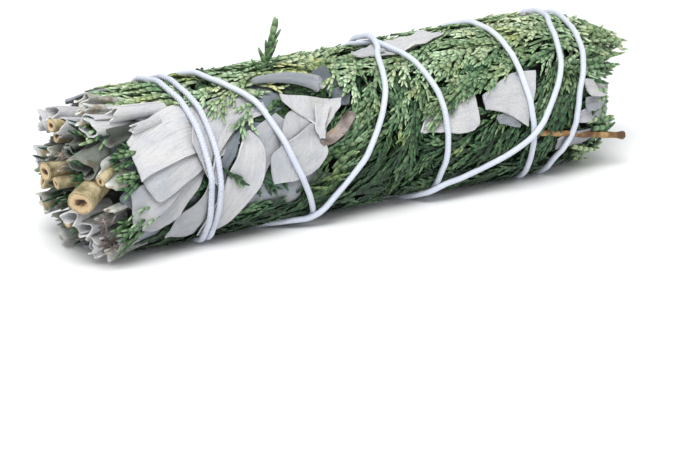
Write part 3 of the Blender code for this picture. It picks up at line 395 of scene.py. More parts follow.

# Rolls lighter than this take the felted leaf's colours, and darker ones the cut end's darker, greener ones
PALE = 0.6
ROLL_NEAR_TOP = ((-10.6, -9.8, 13.3), (-22.4, -5.8, 14.4), 1.35, 1.3, 150, 0.42)
ROLL_NEAR_TOP_TAPER, ROLL_NEAR_TOP_BEND = 0.6, 0.9

# Crumpled leaf ends that show in the photograph: mouth, inner end, width, how sharply folded, how light, as
# painted light and shade
CRUMPLES = (
    ((-56.0, -6.4, 14.6), (-48, -5.6, 12.8), 6.5, 2.2, 0.85),
    ((-54.6, -3.4, 15.4), (-47, -3.0, 13.2), 7.0, 2.0, 0.8),
    ((-57.2, -8.6, 13.2), (-49, -7.2, 11.6), 4.5, 2.4, 0.75),
    ((-53.6, -10.9, 10.4), (-45, -9.2, 10.8), 5.5, 1.0, 0.12),
    ((-58.0, -8.4, 9.6), (-49, -6.6, 8.8), 5.0, 1.2, 0.05),
    ((-55.4, -13.2, 4.2), (-48, -11.4, 5.0), 7.5, 0.9, 0.75),
    ((-54.6, -13.8, -1.8), (-47, -12.0, -1.0), 4.5, 2.4, 0.7),
    ((-56.0, -12.4, -3.4), (-48, -10.6, -2.4), 4.0, 2.6, 0.5),
    ((-55.8, -8.8, -11.6), (-48, -7.6, -9.8), 5.5, 1.6, 0.8),
    ((-53.6, -11.2, -10.4), (-46, -10.0, -9.2), 7.5, 1.3, 0.75),
    ((-55.2, -12.4, -7.4), (-48, -10.8, -6.2), 4.0, 2.4, 0.55),
    ((-59.6, -6.0, 4.6), (-51, -4.6, 4.0), 4.0, 2.2, 0.5),
    ((-60.0, -1.6, 6.6), (-51, -1.2, 5.6), 4.5, 2.2, 0.55),
    ((-59.4, -4.8, -1.6), (-51, -4.0, -1.4), 4.0, 2.4, 0.4),
)
# The rest of the cut end: how many leaf ends, how wide they spread, how far out they reach and how much less
# they do at the rim, and where they start inside
END_LEAVES = 40
END_LEAF_RADIUS = 12.2
END_LEAF_REACH, END_LEAF_DOME = -58.6, 4.5
END_LEAF_INSIDE = -50.0
GOLDEN_ANGLE = 137.5
STEM_CLEARANCE = 0.9

# What lies under the leaves and sprays that are placed one by one
UNDER_LEAF_ROWS = (-53, -34, -14, 6, 24)
UNDER_LEAVES_ROUND = 9
UNDER_ROW_TURN = 22
CAMERA_SIDE = (-70, 125)
UNDER_SPRAYS = 84
UNDER_START, UNDER_LENGTH = -48, 100
# Sprays past the first place point back towards the cut end, and between the two this share of them do
ALL_BACKWARDS_FROM, SOME_BACKWARDS_FROM, BACKWARDS_SHARE = 36, -34, 0.4

# The leafy end: how many shoots and leaves close it, how wide they spread, how far its middle reaches and how
# much less its rim does
TIP_SHOOTS = 560
TIP_RADIUS = 13.0
TIP_REACH = 57.4
TIP_DOME = 3.2
TIP_LEAVES = 9
TIP_LEAF_RADIUS = 9.0
TIP_LEAF_REACH = 55.8
TIP_LEAF_DOME = 2.5
TIP_LEAF_INSIDE = 49.0
TIP_LEAF_TURN = 40

# Tufts of cedar in the cut end: angle and distance from the axis, how far along their tips are, how many
# shoots each has and how light it is
CUT_END_TUFTS = (
    (12, 13.4, -53.6, 22, 0.36), (30, 13.4, -54.0, 18, 0.3), (24, 11.0, -61.0, 9, 0.1),
    (-11, 7.7, -61.6, 9, 0.08), (52, 12.4, -58.4, 14, 0.5), (-26, 13.2, -54.2, 22, 0.28),
    (-12, 14.0, -52.2, 10, 0.5), (40, 9.6, -59.4, 12, 0.1), (150, 12.6, -56.0, 12, 0.4),
    (200, 12.6, -56.0, 12, 0.35), (250, 12.0, -56.0, 12, 0.3), (80, 6.0, -60.4, 9, 0.1),
    (175, 6.5, -60.0, 9, 0.2), (-70, 9.0, -58.0, 9, 0.2), (105, 5.9, -62.0, 4, 0.02),
    (60, 11.8, -60.6, 4, 0.02), (-40, 3.6, -62.2, 6, 0.05),
)
# Brown seedy bits: angle and distance from the axis, how far along, how far they spread, how many
SEEDY_BITS = ((-33, 12.6, -54.6, 1.7, 26), (51, 8.4, -58.8, 1.7, 18), (-17, 12.2, -55.4, 1.5, 14))

# Plain materials: name, roughness, scales of the patches and the grain, strength and depth of the relief, and
# the colours of the patches
BROWNED = ("sage_browned", 0.85, 240.0, 2600.0, 0.4, 0.0002, (
    (0.36, (0.06, 0.045, 0.035)), (0.47, (0.17, 0.135, 0.12)), (0.57, (0.31, 0.265, 0.25)),
    (0.70, (0.34, 0.25, 0.16))))
TWIG_BARK = ("twig_bark", 0.7, 380.0, 2400.0, 0.5, 0.0002, (
    (0.34, (0.10, 0.05, 0.02)), (0.50, (0.28, 0.15, 0.05)), (0.66, (0.50, 0.33, 0.14))))
# The packed middle, nearly black: painted shade in the gaps between the leaves and sprays
PACKED_SHADE = ("packed_painted_shade", 0.95, 300.0, 1500.0, 0.8, 0.0005, (
    (0.35, (0.012, 0.016, 0.012)), (0.6, (0.03, 0.04, 0.03)), (0.8, (0.09, 0.09, 0.07))))
# The colours of a leaf from painted shade to painted light, and those of its patches
FELT = (
    (0.0, (0.08, 0.105, 0.12)), (0.30, (0.20, 0.235, 0.27)), (0.60, (0.43, 0.44, 0.46)),
    (1.0, (0.67, 0.67, 0.68)))
FELT_PATCHES = ((0.30, (0.84, 0.87, 0.92)), (0.50, (0.98, 0.97, 0.97)), (0.72, (1.0, 0.985, 0.95)))
# The cut end's leaf ends, greener than the felt, from painted shade to painted light, and their patches
CUT_END = (
    (0.0, (0.018, 0.025, 0.016)), (0.30, (0.07, 0.085, 0.062)), (0.60, (0.29, 0.31, 0.29)),
    (1.0, (0.84, 0.83, 0.82)))
CUT_END_PATCHES = (
    (0.36, (0.52, 0.42, 0.29)), (0.46, (0.84, 0.83, 0.74)), (0.56, (0.98, 0.99, 1.0)),
    (0.72, (1.0, 0.97, 0.91)))
# Tints of a leaf: its net of veins, painted shade in the hollows of its creases and painted light on their
# ridges, its midrib by the distance from it, and its felt
VEINS = ((0.0, (0.90, 0.905, 0.91)), (0.12, (1.0, 1.0, 1.0)))
CREASE_SHADE_AND_LIGHT = ((0.34, (0.80, 0.81, 0.83)), (0.46, (0.98, 0.98, 0.98)), (0.62, (1.05, 1.05, 1.04)))
RIB = ((0.0, (0.78, 0.78, 0.80)), (0.016, (1.0, 1.0, 1.0)))
SPECKS = ((0.30, (0.90, 0.90, 0.91)), (0.62, (1.04, 1.04, 1.03)))
# The colours of cedar from the deepest green in painted shade to the palest in painted light, its painted
# shade between the scales and painted highlight on their tips, its broad changes of hue, and where it is dry
GREENS = (
    (0.0, (0.010, 0.038, 0.014)), (0.25, (0.040, 0.105, 0.042)), (0.50, (0.150, 0.235, 0.118)),
    (0.75, (0.335, 0.425, 0.255)), (1.0, (0.560, 0.620, 0.440)))
SCALE_SHADE_AND_HIGHLIGHT = ((0.0, (0.20, 0.23, 0.20)), (0.5, (0.85, 0.86, 0.85)), (1.0, (1.6, 1.6, 1.6)))
HUES = (
    (0.36, (0.84, 1.0, 0.96)), (0.52, (1.0, 1.0, 0.96)), (0.62, (1.08, 1.02, 0.78)),
    (0.74, (1.28, 1.0, 0.56)))
DRY_FLECKS = ((0.66, (0.0, 0.0, 0.0)), (0.74, (1.0, 1.0, 1.0)))
DRY_BROWN = (0.30, 0.19, 0.07)
# The string's white cotton with painted bluish shade in its hollows, and its patches
COTTON_AND_HOLLOW_SHADE = ((0.30, (0.50, 0.54, 0.66)), (0.60, (0.72, 0.75, 0.82)))
COTTON_PATCHES = ((0.35, (0.88, 0.90, 0.98)), (0.65, (1.0, 1.0, 1.0)))
# A stem's cut face from its pith to its rim, its bark, and the bark's fine streaks
CUT_FACE = (
    (0.16, (0.03, 0.015, 0.01)), (0.32, (0.18, 0.09, 0.04)), (0.46, (0.56, 0.41, 0.22)),
    (0.78, (0.63, 0.49, 0.30)), (0.94, (0.33, 0.20, 0.10)), (1.15, (0.40, 0.36, 0.20)))
BARK = ((0.34, (0.13, 0.105, 0.055)), (0.50, (0.36, 0.30, 0.16)), (0.66, (0.58, 0.50, 0.32)))
BARK_STREAKS = ((0.35, (0.72, 0.70, 0.66)), (0.60, (1.0, 1.0, 1.0)))
FLOOR = ((0.3, (0.93, 0.93, 0.935)), (0.7, (0.95, 0.95, 0.95)))

# Light from the sky, and one soft lamp: where it is and what it points at, in metres, how wide and how strong
SKY_COLOUR, SKY_STRENGTH = (0.96, 0.98, 1.0, 1.0), 0.62
KEY_PLACE, KEY_AIM = (-0.30, -0.35, 0.80), (0, 0, 0.015)
KEY_SIZE, KEY_POWER = 0.55, 8.0

# Camera: its angles round the axis' middle, how far off it stands, its focal length in pixels, and where in
# the photograph that middle lands
CAMERA_AZIMUTH, CAMERA_ELEVATION = -31.0, 18.0
CAMERA_DISTANCE = 374.0
CAMERA_FOCAL = 1960.0
CENTRE_PIXEL = (342.0, 129.0)
FRAME_SIZE = (680.0, 455.0)
SENSOR = 36.0


def select_only(obj):
    bpy.ops.object.select_all(action="DESELECT")
    obj.select_set(True)
    bpy.context.view_layer.objects.active = obj


def coordinates(mesh):
    points = np.empty(len(mesh.vertices) * 3)
    mesh.vertices.foreach_get("co", points)
    return points.reshape(-1, 3)


def set_coordinates(mesh, points):
    mesh.vertices.foreach_set("co", np.ascontiguousarray(points, dtype=np.float32).ravel())
    mesh.update()


def set_attribute(mesh, name, values):
    attribute = mesh.attributes.get(name) or mesh.attributes.new(name, "FLOAT", "POINT")
    attribute.data.foreach_set("value", np.asarray(values, dtype=np.float32))


def apply_modifier(obj, kind, **settings):
    select_only(obj)
    modifier = obj.modifiers.new(kind.title(), kind)
    for key, value in settings.items():
        setattr(modifier, key, value)
    bpy.ops.object.modifier_apply(modifier=modifier.name)


def profile_radius(profile, along):
    places, radii = zip(*profile)
    return np.interp(along, places, radii)


def blurred(field, rounds):
    """A grid of values, each drawn a number of times towards its four neighbours'."""
    for _ in range(rounds):
        field = (field * 2 + np.roll(field, 1, 1) + np.roll(field, -1, 1)
                 + np.roll(field, 1, 0) + np.roll(field, -1, 0)) / 6
    return field


def cut_across(mesh, places, way):
    """Cuts a mesh through at each place along a way."""
    bm = bmesh.new()
    bm.from_mesh(mesh)
    for place in places:
        geometry = bm.verts[:] + bm.edges[:] + bm.faces[:]
        bmesh.ops.bisect_plane(bm, geom=geometry, plane_co=Vector(way) * place, plane_no=way)
    bm.to_mesh(mesh)
    bm.free()


def joined(name, parts):
    bpy.ops.object.select_all(action="DESELECT")
    for part in parts:
        part.select_set(True)
    bpy.context.view_layer.objects.active = parts[0]
    bpy.ops.object.join()
    made = bpy.context.object
    made.name = name
    made.data.name = name
    return made


class Cover:
    """How far out from the axis the bunch reaches so far, on a grid along and round it."""

    STEP = 0.4
    ROWS = 240
    HALF_LENGTH = 68.0

    def __init__(self):
        self.columns = int(2 * self.HALF_LENGTH / self.STEP) + 1
        along = np.arange(self.columns) * self.STEP - self.HALF_LENGTH
        self.out = np.repeat(profile_radius(CORE_PROFILE, along)[:, None], self.ROWS, axis=1)

    def cell(self, along, wrapped):
        column = np.clip(np.rint((along + self.HALF_LENGTH) / self.STEP).astype(int), 0, self.columns - 1)
        row = np.rint(wrapped / GIRTH * self.ROWS).astype(int) % self.ROWS
        return column, row

    def top(self, along, wrapped, reach):
        """The largest radius within reach of each flat place."""
        found = self.out[self.cell(along, wrapped)]
        for k in range(8):
            turn = math.tau * k / 8
            near = self.cell(along + reach * math.cos(turn), wrapped + reach * math.sin(turn))
            found = np.maximum(found, self.out[near])
        return found

    def lay(self, along, wrapped, radius):
        np.maximum.at(self.out, self.cell(along, wrapped), radius)

    def softened(self):
        """The cover as it is now, with its small bumps pressed down: what the next piece rests on."""
        soft = Cover.__new__(Cover)
        soft.columns = self.columns
        soft.out = blurred(self.out, 3)
        return soft

    def smoothed(self, rounds):
        """The cover as a smooth field that stays near its high places."""
        field = self.out
        for _ in range(2):
            field = np.maximum.reduce([field, np.roll(field, 1, 1), np.roll(field, -1, 1),
                                       np.roll(field, 1, 0), np.roll(field, -1, 0)])
        return blurred(field, rounds)


def curve_through(points, count):
    """Flat places evenly spaced on a smooth curve through the given ones."""
    keys = [np.array(p, dtype=float) for p in points]
    keys = [keys[0] * 2 - keys[1], *keys, keys[-1] * 2 - keys[-2]]
    dense = []
    for i in range(1, len(keys) - 2):
        before, here, there, after = keys[i - 1 : i + 3]
        for t in np.arange(0, 1, 0.1):
            first = (there - before) * t
            second = (2 * before - 5 * here + 4 * there - after) * t**2
            third = (3 * here - before - 3 * there + after) * t**3
            dense.append(here + (first + second + third) / 2)
    dense.append(keys[-2])
    dense = np.array(dense)
    lengths = np.concatenate(([0.0], np.cumsum(np.linalg.norm(np.diff(dense, axis=0), axis=1))))
    wanted = np.linspace(0, lengths[-1], count)
    return np.column_stack([np.interp(wanted, lengths, dense[:, k]) for k in range(dense.shape[1])])


def unrolled(places):
    return [(along, angle * PER_DEGREE) for along, angle in places]


def rolled(points):
    """World places in metres from flat ones: along, along the wrap, and out from the axis."""
    along, wrapped, radius = points.T
    turn = wrapped / WRAP_RADIUS
    height = settled(AXIS_HEIGHT + radius * np.sin(turn))
    return np.column_stack((along, -radius * np.cos(turn), height)) * MM


def settled(height):
    """Heights with what would be under the floor pressed up onto it."""
    span = FLOOR_TO - FLOOR_FROM
    share = np.clip((height - FLOOR_FROM) / span, 0.0, 1.0)
    pressed = FLOOR_TO * share ** (span / FLOOR_TO)
    return np.where(height < FLOOR_TO, pressed, height)


def set_down(obj, points):
    """Puts a mesh's points, in millimetres from the bunch's middle on the floor, in the world."""
    set_coordinates(obj.data, np.column_stack((points[:, :2], settled(points[:, 2]))) * MM)


def over_floor(*places):
    """Places given by their height above the axis, with their height above the floor."""
    return [Vector((place[0], place[1], place[2] + AXIS_HEIGHT)) for place in places]


def draped(need, rounds):
    """A sheet pulled taut over a grid of heights that it can't go below."""
    height = need.copy()
    for _ in range(rounds):
        edged = np.pad(height, 1, mode="edge")
        mean = (edged[:-2, 1:-1] + edged[2:, 1:-1] + edged[1:-1, :-2] + edged[1:-1, 2:]) / 4
        height = np.maximum(need, mean)
    return height


def finer(grid, times):
    """A grid of points with more points between its own."""
    rows, columns = grid.shape[:2]
    row = np.linspace(0, rows - 1, (rows - 1) * times + 1)
    column = np.linspace(0, columns - 1, (columns - 1) * times + 1)
    low_row, low_column = np.minimum(row.astype(int), rows - 2), np.minimum(column.astype(int), columns - 2)
    a, b = (row - low_row)[:, None, None], (column - low_column)[None, :, None]
    upper = grid[low_row][:, low_column] * (1 - b) + grid[low_row][:, low_column + 1] * b
    lower = grid[low_row + 1][:, low_column] * (1 - b) + grid[low_row + 1][:, low_column + 1] * b
    return upper * (1 - a) + lower * a


def blade(name, edges, curl, light, cover, draw, rounds=14):
    """A sage leaf between two edges, laid over the cover: a grid shaped flat and given its thickness."""
    bpy.ops.object.select_all(action="DESELECT")
    bpy.ops.mesh.primitive_grid_add(x_subdivisions=BLADE_ROWS, y_subdivisions=BLADE_COLUMNS, size=2)
    leaf = bpy.context.object
    leaf.name = name
    leaf.data.name = name
    flat = coordinates(leaf.data)
    places = np.column_stack(((flat[:, 0] + 1) / 2, flat[:, 1]))
    places = np.rint(places * GRID_ROUNDING) / GRID_ROUNDING
    shares, across = np.unique(places[:, 0]), np.unique(places[:, 1])
    row = np.searchsorted(shares, places[:, 0] - 1e-6)
    column = np.searchsorted(across, places[:, 1] - 1e-6)
    one, other = (curve_through(unrolled(edge), len(shares)) for edge in edges)
    s, t = shares[:, None], across[None, :]
    share = (t + 1) / 2
    grid = one[:, None, :] * share[..., None] + other[:, None, :] * (1 - share[..., None])
    width = np.linalg.norm(one - other, axis=1)[:, None]
    need = cover.softened().top(grid[..., 0], grid[..., 1], BLADE_REST_REACH) + BLADE_GAP
    height = draped(need, rounds)
    phase = draw.uniform(0, math.tau)
    long, short = (math.tau * count * s for count in EDGE_WAVES)
    wave = np.sin(long + phase + 1.3 * t) + 0.5 * np.sin(short + 2.1 * phase)
    height = height + curl * np.abs(t) ** 3 * (0.55 + 0.3 * wave) * np.clip(width / FULL_CURL_WIDTH, 0, 1)
    ripple = np.sin(math.tau * BLADE_RIPPLES * s + phase) * np.sin(3.0 * t + 2 * phase)
    height = height + BLADE_RIPPLE * ripple
    height = height - MIDRIB_DEPTH * np.exp(-((t / MIDRIB_WIDTH) ** 2) / 2)
    height = height + BLADE_END_LIFT * (1 - s) ** 5
    surface = np.concatenate((grid, height[..., None]), axis=2)
    set_coordinates(leaf.data, surface[row, column])
    apply_modifier(leaf, "SOLIDIFY", thickness=BLADE_THICKNESS, offset=1.0, use_even_offset=False)
    # The leaf's light is painted light and shade, one value for the whole leaf
    set_attribute(leaf.data, "light", np.full(len(leaf.data.vertices), light))
    dense = finer(surface, 4).reshape(-1, 3)
    cover.lay(dense[:, 0], dense[:, 1], dense[:, 2] + BLADE_THICKNESS)
    bpy.ops.object.shade_smooth_by_angle(angle=BLADE_SMOOTH_ANGLE)
    return leaf


def leaf_edges(start, end, width, bow):
    """The two edges of a whole leaf from its stalk to its tip, as (along, angle) places."""
    first, last = (np.array(p) for p in unrolled((start, end)))
    way = last - first
    side = np.array((-way[1], way[0])) / np.hypot(*way)
    edges = []
    for hand in (1, -1):
        edge = []
        for share in np.linspace(0, 1, 9):
            half = width / 2 * max(0.08, math.sin(math.pi * share**0.85) ** 0.7)
            place = first + way * share + side * (hand * half + bow * 4 * share * (1 - share))
            edge.append((place[0], place[1] / PER_DEGREE))
        edges.append(edge)
    return edges


class Shoot:
    """A scaly cedar shoot along X from 0 to 1, one wide and one deep: its points, faces and the painted shade
    and light of its scales.
    """

    # Rings of a scale: how far along it each is, how wide and how light as painted light and shade, narrow
    # and in painted shade where it starts
    RINGS = ((0.10, 0.80, 0.05), (0.45, 1.0, 0.7), (0.94, 0.92, 1.0))

    def __init__(self, scales):
        bpy.ops.object.select_all(action="DESELECT")
        bpy.ops.mesh.primitive_circle_add(
            vertices=SHOOT_SIDES, radius=0.5, fill_type="NGON", rotation=(0, math.pi / 2, 0))
        bpy.ops.object.transform_apply(location=False, rotation=True, scale=True)
        shoot = bpy.context.object
        bpy.ops.object.mode_set(mode="EDIT")
        bpy.ops.mesh.select_all(action="SELECT")
        place, wide = 0.0, 1.0
        marks = [(0.0, 0.1)]
        for k in range(scales):
            for share, width, light in self.RINGS:
                there = (k + share) / scales
                new = width * (0.74 + 0.26 * math.sin(math.pi * min(1.0, there + 0.15)))
                if k == scales - 1 and share > 0.4:
                    new *= 0.85 if share < 0.8 else 0.5
                bpy.ops.mesh.extrude_region_move(TRANSFORM_OT_translate={"value": (there - place, 0, 0)})
                bpy.ops.transform.resize(value=(1, new / wide, new / wide), center_override=(there, 0, 0))
                place, wide = there, new
                marks.append((there, light))
        bpy.ops.mesh.extrude_region_move(TRANSFORM_OT_translate={"value": (1.0 - place, 0, 0)})
        bpy.ops.transform.resize(value=(1, 0.3, 0.3), center_override=(1.0, 0, 0))
        bpy.ops.object.mode_set(mode="OBJECT")
        marks.append((1.0, 1.0))
        self.points = coordinates(shoot.data)
        self.faces = [list(face.vertices) for face in shoot.data.polygons]
        self.light = np.interp(self.points[:, 0], *zip(*marks))
        bpy.data.objects.remove(shoot)


def line_heights(line, cover, lift):
    """Radii of a shoot's middle, resting on the cover and bending gently."""
    height = cover.top(line[:, 0], line[:, 1], 0.45) + lift
    run = np.linalg.norm(np.diff(line, axis=0), axis=1)
    for _ in range(2):
        for i in range(1, len(height)):
            height[i] = max(height[i], height[i - 1] - STEEPEST_SHOOT * run[i - 1])
        for i in range(len(height) - 2, -1, -1):
            height[i] = max(height[i], height[i + 1] - STEEPEST_SHOOT * run[i])
    for _ in range(3):
        height[1:-1] = np.maximum(height[1:-1], (height[:-2] + height[2:]) / 2)
    return height


class Spray:
    """Gathers the shoots of a cedar spray, as copies of the modelled ones, bent and laid in their places."""

    def __init__(self, shoots):
        self.shoots = shoots
        self.points, self.faces, self.light, self.tone = [], [], [], []
        self.count = 0

    def add(self, line, heights, width, tone, lift_tip=0.0):
        """Lays a copy of the shoot of the right length along a flat line at these heights."""
        length = np.linalg.norm(np.diff(line, axis=0), axis=1).sum()
        shape = self.shoots[min(LONGEST_SHOOT, max(1, round(length / SCALE_LENGTH)))]
        share = np.linspace(0, 1, len(line))
        x, y, z = shape.points.T
        ahead = np.gradient(line, axis=0)
        ahead /= np.linalg.norm(ahead, axis=1)[:, None]
        along = np.interp(x, share, line[:, 0]) - np.interp(x, share, ahead[:, 1]) * y * width
        radius = np.interp(x, share, heights) + z * width * SHOOT_DEPTH / SHOOT_WIDTH + lift_tip * x**2
        around = WRAP_RADIUS / np.maximum(radius, LEAST_RADIUS)
        wrapped = np.interp(x, share, line[:, 1]) + np.interp(x, share, ahead[:, 0]) * y * width * around
        # Painted shade darkens each shoot towards its base
        self.take(shape, (along, wrapped, radius), shape.light * (0.62 + 0.38 * x), tone)

    def take(self, shape, places, light, tone):
        """Keeps a copy of a shoot whose points are at these flat places."""
        self.points.append(np.column_stack(places))
        self.faces.extend([corner + self.count for corner in face] for face in shape.faces)
        self.light.append(light)
        self.tone.append(np.full(len(light), tone))
        self.count += len(light)

    def made(self, name):
        mesh = bpy.data.meshes.new(name)
        mesh.from_pydata(np.concatenate(self.points), [], self.faces)
        set_attribute(mesh, "light", np.concatenate(self.light))
        set_attribute(mesh, "tone", np.concatenate(self.tone))
        obj = bpy.data.objects.new(name, mesh)
        bpy.context.scene.collection.objects.link(obj)
        select_only(obj)
        bpy.ops.object.shade_smooth_by_angle(angle=SHOOT_SMOOTH_ANGLE)
        return obj


def turned(way, angle):
    c, s = math.cos(angle), math.sin(angle)
    return np.array((way[0] * c - way[1] * s, way[0] * s + way[1] * c))


def shoot_line(start, way, length, bend, count=6):
    """A flat line from a place, bending by an angle over its length."""
    step = length / (count - 1)
    line = [start]
    for k in range(count - 1):
        heading = turned(way, bend * (k + 0.5) / (count - 1))
        line.append(line[-1] + heading * step)
    return np.array(line)


def lay_shoot(spray, cover, below, line, width, tone, draw, lift=0.0):
    heights = line_heights(line, below, SHOOT_DEPTH * 0.3 + lift)
    spray.add(line, heights, width, tone, draw.uniform(-0.15, 0.6))
    dense = curve_through(line, max(3, int(len(line) * 3)))
    high = np.interp(np.linspace(0, 1, len(dense)), np.linspace(0, 1, len(line)), heights)
    way = np.gradient(dense, axis=0)
    way /= np.linalg.norm(way, axis=1)[:, None] + 1e-9
    for offset in (-0.35, 0.0, 0.35):
        cover.lay(dense[:, 0] - way[:, 1] * offset, dense[:, 1] + way[:, 0] * offset,
                  high + SHOOT_DEPTH * 0.30)
    return heights


def lay_spray(spray, cover, root, tip, width, bow, draw, tone, opening=1.0):
    """A flat branched spray: a stalk, side shoots in turn left and right, and small shoots along those."""
    first, last = (np.array(p) for p in unrolled((root, tip)))
    way = last - first
    length = np.hypot(*way)
    forward = way / length
    side = np.array((-forward[1], forward[0]))
    count = max(5, round(length / STALK_STEP))
    shares = np.linspace(0, 1, count + 1)
    stalk = np.array([first + way * s + side * (bow * 4 * s * (1 - s)) for s in shares])
    below = cover.softened()
    lay_shoot(spray, cover, below, stalk, SHOOT_WIDTH * 0.9, tone, draw)
    hand = draw.choice((1, -1))
    for i in range(1, count):
        hand = -hand
        s = i / count
        heading = stalk[i + 1] - stalk[i - 1]
        heading /= np.hypot(*heading)
        envelope = min(1.0, 0.45 + 1.6 * s, 2.2 * (1 - s) + 0.18)
        reach = width * SIDE_REACH * envelope * draw.uniform(0.75, 1.15)
        spread = math.radians(draw.uniform(*SIDE_SPREAD)) * opening
        out = turned(heading, hand * spread)
        line = shoot_line(stalk[i], out, reach, -hand * spread * draw.uniform(*SIDE_BEND))
        shade = tone + draw.uniform(-TONE_SPREAD, TONE_SPREAD)
        lay_shoot(spray, cover, below, line, SHOOT_WIDTH * draw.uniform(0.85, 1.05), shade, draw,
                  draw.uniform(0.0, 0.2))
        steps = int(reach / SMALL_SHOOT_STEP)
        small_hand = hand
        for j in range(1, steps):
            small_hand = -small_hand
            share = j / steps
            place = np.array([np.interp(share, np.linspace(0, 1, len(line)), line[:, k]) for k in (0, 1)])
            direction = line[min(len(line) - 1, int(share * 5) + 1)] - line[int(share * 5)]
            direction /= np.hypot(*direction)
            small = (SMALL_REACH * reach * (1 - share) + SMALL_LEAST) * draw.uniform(0.8, 1.25)
            open_angle = math.radians(draw.uniform(*SMALL_SPREAD)) * opening
            branch = shoot_line(place, turned(direction, small_hand * open_angle), small,
                                -small_hand * open_angle * 0.5, 4)
            lay_shoot(spray, cover, below, branch, SHOOT_WIDTH * draw.uniform(0.75, 0.95),
                      shade + draw.uniform(-0.1, 0.12), draw, draw.uniform(0.0, 0.3))


def standing_shoot(spray, cover):
    """The one shoot that stands up from the top, with side shoots pressed close to it."""
    foot = unrolled((STANDING_FOOT,))[0]
    base = float(cover.softened().top(np.array([foot[0]]), np.array([foot[1]]), 1.0)[0]) - 0.6
    for k, (up, ahead, length, lean, width) in enumerate(STANDING_PARTS):
        shape = spray.shoots[min(LONGEST_SHOOT, round(length / SCALE_LENGTH))]
        x, y, z = shape.points.T
        places = (foot[0] + ahead + lean * x + y * width,
                  foot[1] + 0.3 * math.sin(2.4 * k) * x - z * width * 0.8,
                  base + up + length * x)
        spray.take(shape, places, shape.light, 0.34 + 0.14 * math.sin(1.9 * k))


def packed_middle():
    """The middle of the bunch, nearly black as painted shade in the gaps: a cylinder swelled to the core's
    profile and crumpled.
    """
    bpy.ops.object.select_all(action="DESELECT")
    length = CORE_END - CORE_START
    bpy.ops.mesh.primitive_cylinder_add(
        vertices=CORE_SIDES, radius=1, depth=length, rotation=(0, math.pi / 2, 0))
    core = bpy.context.object
    core.name = "packed_middle"
    bpy.ops.object.transform_apply(location=False, rotation=True, scale=True)
    cut_across(core.data, np.linspace(-length / 2, length / 2, CORE_RINGS)[1:-1], (1, 0, 0))
    points = coordinates(core.data)
    along = points[:, 0] + (CORE_START + CORE_END) / 2
    turn = np.arctan2(points[:, 2], -points[:, 1])
    radius = profile_radius(CORE_PROFILE, along) - 0.3
    radius = radius + 0.25 * np.sin(turn * 9 + along * 0.5) + 0.2 * np.sin(turn * 17 - along * 0.9)
    end = (along < CORE_START + 0.2) | (along > CORE_END - 0.2)
    radius = np.where(end, radius * 0.92, radius)
    set_down(core, np.column_stack((along, -radius * np.cos(turn), AXIS_HEIGHT + radius * np.sin(turn))))
    select_only(core)
    bpy.ops.object.shade_smooth_by_angle(angle=SHOOT_SMOOTH_ANGLE)
    return core


def tight_radii(line, need, rounds):
    """Radii of a tight string: straight from one high place to the next, and never under what it needs."""
    turn = line[:, 1] / WRAP_RADIUS
    radii = need.copy()
    for _ in range(rounds):
        y, z = radii * np.cos(turn), radii * np.sin(turn)
        middle = np.hypot((y[:-2] + y[2:]) / 2, (z[:-2] + z[2:]) / 2)
        radii[1:-1] = np.maximum(need[1:-1], middle)
    return radii


def string_line(cover):
    """The string's middle as flat places with their radii."""
    keys = unrolled(STRING_ROUTE)
    rough = curve_through(keys, 2000)
    length = np.linalg.norm(np.diff(rough, axis=0), axis=1).sum()
    line = curve_through(keys, int(length / STRING_STEP))
    field = cover.smoothed(5)
    need = field[cover.cell(line[:, 0], line[:, 1])] - STRING_PRESS + STRING_RADIUS
    apart = 2 * STRING_RADIUS + STRING_GAP
    skip = int(SAME_PASS / STRING_STEP)
    for i in range(skip, len(line)):
        before = line[: i - skip]
        across = (line[i, 1] - before[:, 1] + GIRTH / 2) % GIRTH - GIRTH / 2
        near = np.hypot(line[i, 0] - before[:, 0], across) < apart
        if near.any():
            need[i] = max(need[i], need[: i - skip][near].max() + 2 * STRING_RADIUS * CROSSING_RISE)
    wide = need.copy()
    for k in (-2, -1, 1, 2):
        wide = np.maximum(wide, np.roll(need, k) - CROSSING_FALL * abs(k))
    return np.column_stack((line, tight_radii(line, wide, STRING_TIGHTENING)))


def lift_to_profile(cover):
    """How far the whole surface moves out or in, on the cover's grid, so that it gets its real thickness."""
    broad = cover.smoothed(25)
    along = np.arange(cover.columns) * cover.STEP - cover.HALF_LENGTH
    wanted = profile_radius(OUTER_PROFILE, along)[:, None]
    lift = np.clip(wanted - broad, -LONGEST_LIFT, LONGEST_LIFT)
    first, last = (int((end + cover.HALF_LENGTH) / cover.STEP) for end in (LIFT_FROM, LIFT_TO))
    lift[:first], lift[last:] = lift[first], lift[last]
    lifted = Cover()
    lifted.out = cover.out + lift
    return lifted, lift


